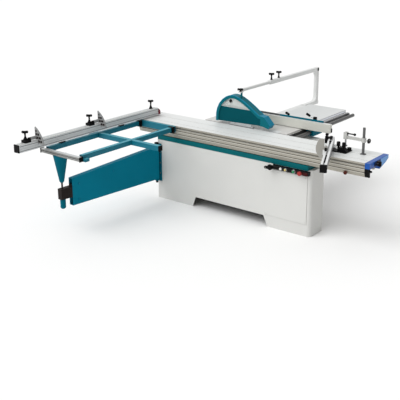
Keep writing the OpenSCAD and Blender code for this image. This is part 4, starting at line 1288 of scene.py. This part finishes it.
@dataclass
class MitreUnit(Unit):
    """Slim fence, moulded base, knobs and caps of the mitre unit."""

    broken_edges: Edges = (("mitre_base", 2.0), ("mitre_lever", 1.0), ("mitre_stop", 1.0))
    degrees: float = 24.5
    half: float = 28.0
    height: float = 68.0
    slot_half: float = 8.0
    slot_depth: float = 20.0
    span: Span = (-780.0, 185.0)
    slot_shade_span: Span = (-640.0, -430.0)
    hinge_x: float = -20.0
    hinge_span: Span = (-342.0, -268.0)
    clamp_y: Span = (84.0, 176.0)
    saddle_y: Span = (110.0, 160.0)
    clamp_star_y: Span = (140.0, 98.0)
    lever_ball: Triple = (0.0, 58.0, 984.0)
    stars: tuple[tuple[float, ...], ...] = (
        (92.0, -6.0, 56.0, 18.0, 42.0), (150.0, -6.0, 56.0, 18.0, 42.0), (170.0, 72.0, 12.0, 20.0, 22.5))
    wedge: tuple[Span, ...] = ((11.0, 189.0), (19.0, 189.0), (46.0, 153.0), (46.0, 96.0), (11.0, 96.0))
    wedge_y: Span = (-31.0, 23.0)

    def make(self) -> None:
        """Adds the fence, the mouldings of the base and the ball of the lever."""
        pivot = self.shop.pivot("mitre_swing")
        turn = Turn((*pivot[:2], 0.0), self.degrees)
        self.fence(turn)
        self.base(pivot)
        ball = dome(self.lever_ball, Axis.Z, 11.8, 11.0, 13.0)
        self.shop.add("mitre_lever_ball", [turn.lift(ball)], BLACK, "mitre_lever", Slot.BLACK)

    def fence(self, turn: Turn) -> None:
        """Adds the slotted bar in place of the wider CAD section, its caps, a black strip in part of its slot
        as painted shade, its hinge and clamp.

        Args:
            turn: the fence's own frame, with the bar along its Y.
        """
        (y0, y1), half, slot = self.span, self.half, self.slot_half
        z0 = self.shop.box("mitre_fence").z[0]
        z1 = z0 + self.height
        floor = z1 - self.slot_depth
        section = np.array([(z0, -half), (z1, -half), (z1, -slot), (floor, -slot), (floor, slot), (z1, slot),
                            (z1, half), (z0, half)])
        bar = prism((0.0, y0, 0.0), Axis.Y, section, y1 - y0, 0.6)
        self.shop.add("mitre_bar", [turn.lift(bar)], MITRE_ALU, "mitre", Slot.ALUMINIUM,
                      instead_of="mitre_fence")
        (shade_start, shade_end), (pin0, pin1), wide = self.slot_shade_span, self.hinge_span, half + 4.0
        (clamp0, clamp1), (saddle0, saddle1) = self.clamp_y, self.saddle_y
        rod = ((3.0, 0.0), (8.0, 0.6), (8.0, pin1 - pin0 - 0.6), (3.0, pin1 - pin0))
        fittings = [
            # Painted shade: a black strip on part of the slot's floor.
            slab((0.4 - slot, shade_start, floor - 0.5), (slot - 0.4, shade_end, floor + 12.0), Axis.Y, 0.5, 0.5),
            slab((-wide, y0 - 6.0, z0 - 0.8), (wide, y0 + 14.0, z1 + 1.5), Axis.MINUS_Y, 2.0, 5.0),
            slab((-half - 1.0, y1 - 3.0, z0 - 0.4), (half + 1.0, y1 + 4.0, z1 + 1.0), Axis.Y, 1.5, 4.0),
            turned((self.hinge_x, pin0, z1 + 20.0), Axis.Y, rod, around=28),
            *(slab((-half, y, z1 - 1.0), (-8.0, y + 10.0, z1 + 33.0), Axis.Y, 1.0, 4.0)
              for y in (pin0 - 2.0, pin1 - 8.0)),
            slab((-half - 34.0, clamp0, z0 + 24.0), (4.0 - half, clamp1, z1 + 8.0), Axis.Z, 2.0, 8.0),
            slab((-half - 20.0, saddle0, z1 - 4.0), (-6.0, saddle1, z1 + 12.0), Axis.Z, 2.0, 8.0),
            self.necked_star((-half - 16.0, self.clamp_star_y[0], z1 + 4.0), 15.0, 42.0),
            self.necked_star((-half - 20.0, self.clamp_star_y[1], z1 + 4.0), 11.0, 26.0)]
        self.shop.add("mitre_fittings", map(turn.lift, fittings), BLACK, "mitre", Slot.BLACK)

    @staticmethod
    def necked_star(foot: Point, radius: float, tall: float) -> np.ndarray:
        """Returns a six-lobed knob on a short neck that stands on a level face."""
        shape = ((0.5, 0.0), (0.62, 0.02), (0.62, 0.42), (0.98, 0.5), (1.06, 0.6), (1.06, 0.86), (0.85, 0.98),
                 (0.4, 1.0), (0.05, 0.99))
        return turned(foot, Axis.Z, scaled(shape, radius, tall), around=60, lobes=6, depth=0.06)

    def base(self, pivot: Point) -> None:
        """Adds the lobed knobs and the wedge-shaped moulding on the unit's foot.

        Args:
            pivot: point on the axis that the fence swings about.
        """
        x, y, _ = pivot
        z = self.shop.box("mitre_base").z[0]
        stacks = []
        for right, back, up, radius, tall in self.stars:
            shape = ((0.5, 0.0), (0.98, 0.6), (1.06, 4.0), (1.06, tall - 5.0), (0.85, tall),
                     (0.4, tall + 0.8), (0.05, tall + 0.6))
            place = (x + right, y + back, z + up)
            stacks.append(turned(place, Axis.Z, scaled(shape, radius), around=60, lobes=6, depth=0.06))
        start, end = self.wedge_y
        stacks.append(prism((x, y + start, z), Axis.Y, np.array(self.wedge), end - start, 2.0))
        self.shop.add("mitre_knobs", stacks, BLACK, "table", Slot.BLACK)


@dataclass
class HoldDown(Unit):
    """Star knob and pad of the hold-down clamp."""

    broken_edges: Edges = (("clamp_arm", 2.5), ("clamp_column", 1.0))
    star_inset: float = 19.0
    star_rise: float = 20.0

    def make(self) -> None:
        """Adds the star that locks the arm on its column, and the rubber pad under the spindle."""
        arm, spindle = self.shop.box("clamp_arm"), self.shop.box("clamp_spindle")
        star = ((8.0, 0.0), (21.4, 0.6), (22.8, 4.0), (22.8, 15.0), (18.0, 20.0), (8.0, 20.8), (1.0, 20.4))
        star_place = (arm.x[1] - self.star_inset, arm.middle()[1], arm.z[0] + self.star_rise)
        knob = turned(star_place, Axis.X, star, around=60, lobes=6, depth=0.07)
        self.shop.add("clamp_star", [knob], BLACK, "clamp", Slot.BLACK)
        pad = ((8.0, 0.0), (15.6, -0.8), (17.8, 1.6), (17.8, 8.0), (17.2, 9.0), (4.0, 9.2))
        pad_place = (*spindle.middle()[:2], spindle.z[0])
        self.shop.add("clamp_pad", [turned(pad_place, Axis.Z, pad, around=36)], RUBBER, "spindle", Slot.BLACK)


@dataclass
class RipUnit(Unit):
    """Grips, scale and trim of the rip fence, its head and its rail."""

    broken_edges: Edges = (
        ("rip_head", 3.0), ("rip_fence", 1.0), ("main_table", 1.5), ("extension_table", 1.5))
    hub_radius: float = 12.0
    lever_tilt: float = 24.0
    stick_rise: float = 12.0
    stick_offset: float = 4.0
    hub_block: Triple = (17.0, 1.0, 42.0)
    bar_side: float = 66.0
    bar_drop: float = 8.0
    scale_x: Span = (4.0, 14.0)
    edge_end: float = 25.0
    edge_height: float = 34.0
    end_depth: float = 8.0
    bar_split: float = 150.0
    bar_end: float = 98.0

    def make(self) -> None:
        """Adds the grips of the levers and the trim of the rail and the fence."""
        for number, body in enumerate(("rip_lever_a", "rip_lever_b"), 1):
            self.lever_grip(number, body)
        self.rail()
        self.fence()

    def lever_grip(self, number: int, body: str) -> None:
        """Adds a swelling grip to a lever's leaning stick, and a block round the outer lever's hub.

        The grip is a round bar along a line that rises towards -X by the tilt: along * (-cos, 0, sin).

        Args:
            number: 1 or 2.
            body: the lever's body.
        """
        lever = self.shop.box(f"rip_lever_{number}")
        x, y, z = lever.x[1] - self.hub_radius, lever.middle()[1], lever.z[0]
        cos, sin = math.cos(math.radians(self.lever_tilt)), math.sin(math.radians(self.lever_tilt))
        along = np.array([64.0, 66.0, 72.0, 84.0, 100.0, 114.0, 120.0, 123.0])
        radii = np.array([6.0, 10.0, 12.4, 12.6, 13.4, 13.2, 10.0, 5.0])
        foot = np.array([x, y, z + self.stick_rise]) + self.stick_offset * np.array([sin, 0.0, cos])
        stacks = [drawn(foot + along[:, None] * (-cos, 0.0, sin), radii, around=24)]
        if number == 2:
            half, down, up = self.hub_block
            low, high = (x - half, y - half, z + down), (x + half, y + half, z + up)
            stacks.append(slab(low, high, Axis.Z, 2.0, 5.0))
        self.shop.add(f"rip_lever_{number}_grip", stacks, BLACK, body, Slot.BLACK)

    def rail(self) -> None:
        """Adds painted shadow on the flat bar, black along the main table and dark grey past it, the scale of
        the flat bar, and the pale edge profile of the extension table.
        """
        rail, table = self.shop.box("rip_rail"), self.shop.box("main_table")
        (y0, y1), (x0, split) = rail.y, (table.x[1], table.y[1])
        x1, top = rail.x[1] - self.bar_side, rail.z[1] - self.bar_drop
        # Painted shadow of the gap between the main table and the rail: black along the table, dark grey past
        # it.
        covers = (("rail_bar_shadow", y0 + 4.0, split, BLACK, Slot.BLACK),
                  ("rail_bar_far_shadow", split + 1.0, y1 - 4.0, RAIL_GREY, Slot.GREY))
        for name, low, high, finish, slot in covers:
            cover = slab((x0 + 1.0, low, top - 0.3), (x1 - 0.5, high, top + 0.8), Axis.Y, 0.6, 0.4)
            self.shop.add(name, [cover], finish, "base", slot)
        left, right = (x0 + side for side in self.scale_x)
        strip = slab((left, y0 + 6.0, top + 0.5), (right, y1 - 6.0, top + 1.2), Axis.Y, 0.5, 0.3)
        self.shop.add("rail_scale_strip", [strip], RAIL_SCALE, "base", Slot.GREY)
        edge = slab((rail.x[0] + 0.4, split - 0.5, rail.z[1] - self.edge_height),
                    (x0 + 0.6, y1 - self.edge_end + 0.6, rail.z[1] + 0.6), Axis.Y, 0.6, 3.0)
        self.shop.add("table_edge_profile", [edge], EDGE_GREY, "base", Slot.GREY)

    def fence(self) -> None:
        """Adds the fence's end cover and hook, its teal bar and the dark bar that carries it on."""
        (x0, x1), (y0, y1), (z0, z1) = self.shop.box("rip_fence")
        corners = (x1 - self.end_depth + 0.6, y0 - 0.5, z0 - 0.5), (x1 + 0.8, y1 + 0.5, z1 + 0.5)
        cover = slab(*corners, Axis.X, 1.5, 4.0)
        self.shop.add("rip_fence_end", [cover], RIP_ALU, "rip_fence", Slot.ALUMINIUM)
        hook = slab((x1 - 1.0, y1 - 20.0, z0 + 4.0), (x1 + 7.0, y1 - 0.5, z0 + 50.0), Axis.X, 1.5, 6.0)
        self.shop.add("rip_fence_hook", [hook], BLACK, "rip_fence", Slot.BLACK)
        split = self.bar_split
        bars = (("rip_fence_bar", split, x1 - self.bar_end, TEAL, Slot.TEAL),
                ("rip_fence_back", x0 + 4.0, split - 1.0, DARK_STEEL, Slot.STEEL))
        for name, low, high, finish, slot in bars:
            bar = slab((low, y1 - 12.0, z1 - 3.0), (high, y1 + 1.5, z1 + 18.0), Axis.X, 1.0, 2.0)
            self.shop.add(name, [bar], finish, "rip_fence", slot)


@dataclass
class Guard(Unit):
    """Slim arm, sheets, beads and knobs of the overhead guard."""

    broken_edges: Edges = (("guard_hood", 2.5),)
    outer: float = 23.0
    inner: float = 15.0
    post_depth: Span = (50.0, 2.0)
    gusset: float = 70.0
    rail_end: float = 1312.0
    bend_start: float = 1300.0
    tee_y: Span = (608.0, 760.0)
    post_tee_height: float = 68.0
    tube_start: float = 38.0
    head_height: float = 42.0
    rod_y: float = 24.0
    bore: Span = (11.3, 21.0)
    bead_radius: float = 5.0
    bolt_place: Span = (-272.0, 1148.0)
    panel: tuple[Span, ...] = (
        (-459.0, 908.0), (150.0, 928.0), (150.0, 1026.0), (101.0, 1033.0), (44.0, 1073.0), (-424.0, 1073.0),
        (-444.0, 1046.0), (-458.0, 990.0))
    nose: tuple[Span, ...] = (
        (104.0, 1035.4), (167.6, 1026.2), (243.0, 945.8), (219.4, 908.6), (220.6, 907.2), (245.0, 946.2),
        (168.4, 1027.8), (104.0, 1036.8))
    rim: tuple[Span, ...] = (
        (-464.0, 906.0), (-462.0, 990.0), (-448.0, 1047.0), (-420.0, 1103.0), (-379.0, 1151.0),
        (-327.0, 1188.0), (-279.0, 1207.0), (-239.0, 1213.0), (-200.0, 1208.0), (-150.0, 1191.0),
        (-90.0, 1162.0), (-6.0, 1111.0), (104.0, 1035.0))

    def make(self) -> None:
        """Adds the post, the sliding tube and the skins of the hood."""
        tube = self.shop.box("guard_tube")
        x, top = tube.middle()[0], tube.z[1] + 4.0
        self.post(x, top)
        self.tube(x, top, tube.y[1])
        self.hood()

    def post(self, x: float, top: float) -> None:
        """Adds the bent post, a little slimmer than its CAD node, and its tee knobs.

        A web fills each inner corner: two straight edges and a quarter circle that hollows it out.

        Args:
            x: middle of the arm.
            top: top of the arm.
        """
        box, table = self.shop.box("guard_post"), self.shop.box("main_table")
        half, web, foot = self.outer, self.gusset, table.z[1] - 2.0
        y0, y1 = (box.y[1] - depth for depth in self.post_depth)
        low = top - 2.0 * half
        swing = np.radians(np.linspace(90.0, 0.0, 9))
        arc = web * np.stack((np.cos(swing), np.sin(swing)), axis=1) + (y0 - web, low - web)
        upper = np.concatenate(([(y0 + 4.0, low - web), (y0 + 4.0, low + 4.0), (y0 - web, low + 4.0)], arc))
        lower = upper * (1.0, -1.0) + (0.0, low + foot)
        stacks = [slab((x - half, box.y[0], low), (x + half, y1, top), Axis.Y, 1.5, 5.0),
                  slab((x - half, y0, foot), (x + half, y1, top - 1.0), Axis.Z, 1.5, 5.0),
                  prism((x - half, 0.0, 0.0), Axis.X, upper, 2.0 * half, 1.0),
                  prism((x - half, 0.0, 0.0), Axis.X, lower[::-1], 2.0 * half, 1.0),
                  slab((box.x[0], table.y[1], box.z[0]), (box.x[1], self.rail_end, foot), Axis.Y, 1.0, 3.0),
                  slab((box.x[0], self.bend_start, box.z[0]), (x + 26.0, box.y[1], foot), Axis.Y, 1.0, 3.0)]
        self.shop.add("guard_bent_post", stacks, POST_PAINT, "base", Slot.CREAM, instead_of="guard_post")
        tees = [tee_knob((x, y, top - 0.5), self.post_tee_height, foot=13.0) for y in self.tee_y]
        self.shop.add("guard_tees", sum(tees, []), BLACK, "base", Slot.BLACK)

    def tube(self, x: float, top: float, end: float) -> None:
        """Adds the slim sliding tube with its bored clamping head, and the upright tee knob on the head.

        Args:
            x: middle of the arm.
            top: top of the arm.
            end: Y of the tube's far end.
        """
        half, axis, low = self.inner, top - self.outer, top - 2.0 * self.outer
        corners = (x - half, self.tube_start, axis - half), (x + half, end, axis + half)
        stacks = [slab(*corners, Axis.Y, 1.0, 4.0),
                  ring((x, self.rod_y, low), Axis.Z, *self.bore, self.head_height),
                  slab((x - 18.0, -24.0, low), (x + 20.0, 12.0, low + 12.0), Axis.Z, 2.0, 8.0)]
        self.shop.add("guard_slim_tube", stacks, POST_PAINT, "guard_tube", Slot.CREAM,
                      instead_of="guard_tube")
        tee = tee_knob((x + 4.0, -6.0, low + 11.5), 24.0, foot=14.0, degrees=20.0)
        self.shop.add("guard_head_tee", tee, BLACK, "guard_tube", Slot.BLACK)

    def hood(self) -> None:
        """Adds the dark side sheet, partly painted shade of the recessed panel, the window's bolt, the nose's
        skin and the beads of the rim, both of these in a lighter teal that is painted highlight.

        A bead is a round bar along the rim, with 70 points at even steps of length.
        """
        near, far = self.shop.box("guard_hood").y
        # The sheet's dark teal is partly the panel's own colour and partly painted shade of the recess.
        sheet = prism((0.0, near + 10.0, 0.0), Axis.MINUS_Y, np.array(self.panel), 0.8, 0.2)
        self.shop.add("hood_panel_skin", [sheet], PANEL_TEAL_AND_SHADE, "hood", Slot.TEAL)
        head = ((3.0, -1.0), (18.0, -0.6), (19.0, 3.0), (16.0, 10.0), (2.0, 11.0))
        bolt_x, bolt_z = self.bolt_place
        bolt = turned((bolt_x, near + 10.0, bolt_z), Axis.MINUS_Y, head, around=28)
        self.shop.add("window_bolt", [bolt], BLACK, "hood", Slot.BLACK)
        # The nose skin is a thin strip along the nose's edge, in lighter teal as painted highlight.
        nose = prism((0.0, near - 0.4, 0.0), Axis.Y, np.array(self.nose)[:, ::-1], far - near + 0.8, 0.1)
        self.shop.add("hood_nose_skin", [nose], HIGHLIGHT_TEAL, "hood", Slot.TEAL)
        # The beads are real round bars; their lighter teal is painted highlight along the rim's edges.
        line = np.array(self.rim)
        length = np.concatenate(([0.0], np.cumsum(np.linalg.norm(np.diff(line, axis=0), axis=1))))
        step = np.linspace(0.0, length[-1], 70)
        x, z = (np.interp(step, length, column) for column in line.T)
        paths = (np.stack((x, np.full_like(x, y), z), axis=1) for y in (near + 2.0, far - 2.0))
        beads = [drawn(path, np.full_like(x, self.bead_radius), around=12) for path in paths]
        self.shop.add("hood_rim_beads", beads, HIGHLIGHT_TEAL, "hood", Slot.TEAL)


@dataclass
class Studio:
    """Floor, soft light and the camera at the photograph's viewing angle."""

    azimuth: float = 37.31
    pitch: float = 15.935
    focal_px: float = 757.43
    centre_px: Span = (214.16, 145.42)
    place: Triple = (4.458, -6.517, 2.940)
    sensor: float = 36.0
    far_clip: float = 200.0
    floor_half: float = 60.0
    floor_color: Color = (0.93, 0.93, 0.925)
    sky: Span = (0.85, 0.43)
    sky_x: Span = (-0.3, 0.9)
    sun_heading: Triple = (0.30, 0.62, -0.80)
    sun_power: float = 1.65
    sun_spread: float = 50.0

    def build(self) -> None:
        """Builds the camera, the sky, the floor and the light."""
        bpy.context.scene.view_settings.view_transform = "Standard"
        self.camera()
        self.world()
        self.floor()
        self.sun()

    @staticmethod
    def put(name: str, data: bpy.types.ID, heading: Vector | None = None) -> bpy.types.Object:
        """Puts a camera, a light or a mesh into the scene.

        Args:
            name: name of the new object.
            data: what it shows.
            heading: the direction that it looks in, if any.

        Returns:
            The new object.
        """
        thing = bpy.data.objects.new(name, data)
        bpy.context.scene.collection.objects.link(thing)
        if heading is not None:
            thing.rotation_mode = "QUATERNION"
            thing.rotation_quaternion = heading.to_track_quat("-Z", "Y")
        return thing

    def camera(self) -> None:
        """Sets the camera: it looks along the azimuth from +Y towards -X, tipped down by the pitch."""
        data = bpy.data.cameras.new("photo_camera")
        turn, tip = math.radians(self.azimuth), math.radians(self.pitch)
        look = Vector((-math.sin(turn) * math.cos(tip), math.cos(turn) * math.cos(tip), -math.sin(tip)))
        eye = self.put("photo_camera", data, look)
        eye.location = self.place
        data.sensor_width = self.sensor
        data.lens = self.focal_px / IMAGE_SIDE * self.sensor
        data.shift_x = 0.5 - self.centre_px[0] / IMAGE_SIDE
        data.shift_y = self.centre_px[1] / IMAGE_SIDE - 0.5
        data.clip_end = self.far_clip
        bpy.context.scene.camera = eye

    def sun(self) -> None:
        """Adds one broad, soft sun."""
        data = bpy.data.lights.new("key_light", "SUN")
        data.energy = self.sun_power
        data.angle = math.radians(self.sun_spread)
        self.put("key_light", data, Vector(self.sun_heading))

    def world(self) -> None:
        """Sets a soft sky, dimmer towards the operator's end, that shows as white behind the floor."""
        world = bpy.data.worlds.new("studio_sky")
        bpy.context.scene.world = world
        world.use_nodes = True
        bench = TreeBench(world.node_tree)
        split = bench.node("SeparateXYZ", Vector=bench.node("TexCoord").outputs["Generated"])
        (start, end), (bright, dim) = self.sky_x, self.sky
        fall = bench.node("MapRange", Value=split.outputs["X"], From_Min=start, From_Max=end, To_Min=bright,
                          To_Max=dim)
        path = bench.node("LightPath")
        seen = bench.node("Math")
        seen.operation = "MAXIMUM"
        for socket, ray in zip(seen.inputs, ("Is Camera Ray", "Is Transmission Ray")):
            bench.tree.links.new(path.outputs[ray], socket)
        level = bench.node("MapRange", Value=seen.outputs["Value"], To_Min=fall.outputs["Result"], To_Max=1.0)
        background = bench.tree.nodes["Background"]
        bench.feed(background, Color=(1.0, 1.0, 1.0, 1.0), Strength=level.outputs["Result"])

    def floor(self) -> None:
        """Lays a plain pale floor just under the feet."""
        side = self.floor_half
        mesh = bpy.data.meshes.new("studio_floor")
        corners = [(-side, -side, 0.0), (side, -side, 0.0), (side, side, 0.0), (-side, side, 0.0)]
        mesh.from_pydata(corners, [], [(0, 1, 2, 3)])
        bench = MaterialBench("studio_floor")
        bench.coat(Base_Color=(*self.floor_color, 1.0), Roughness=0.9, Specular_IOR_Level=0.1)
        mesh.materials.append(bench.material)
        floor = self.put("studio_floor", mesh)


UNITS: tuple[type[Unit], ...] = (
    Cabinet, ControlStrip, SlidingTable, CrosscutUnit, MitreUnit, HoldDown, RipUnit, Guard)


def main() -> None:
    """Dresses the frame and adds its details."""
    logging.basicConfig(level=logging.INFO, format="%(name)s: %(message)s")
    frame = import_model()
    shop = Workshop(frame)
    shop.dress()
    for unit in UNITS:
        unit(shop).build()
    Studio().build()


if __name__ == "__main__":
    main()
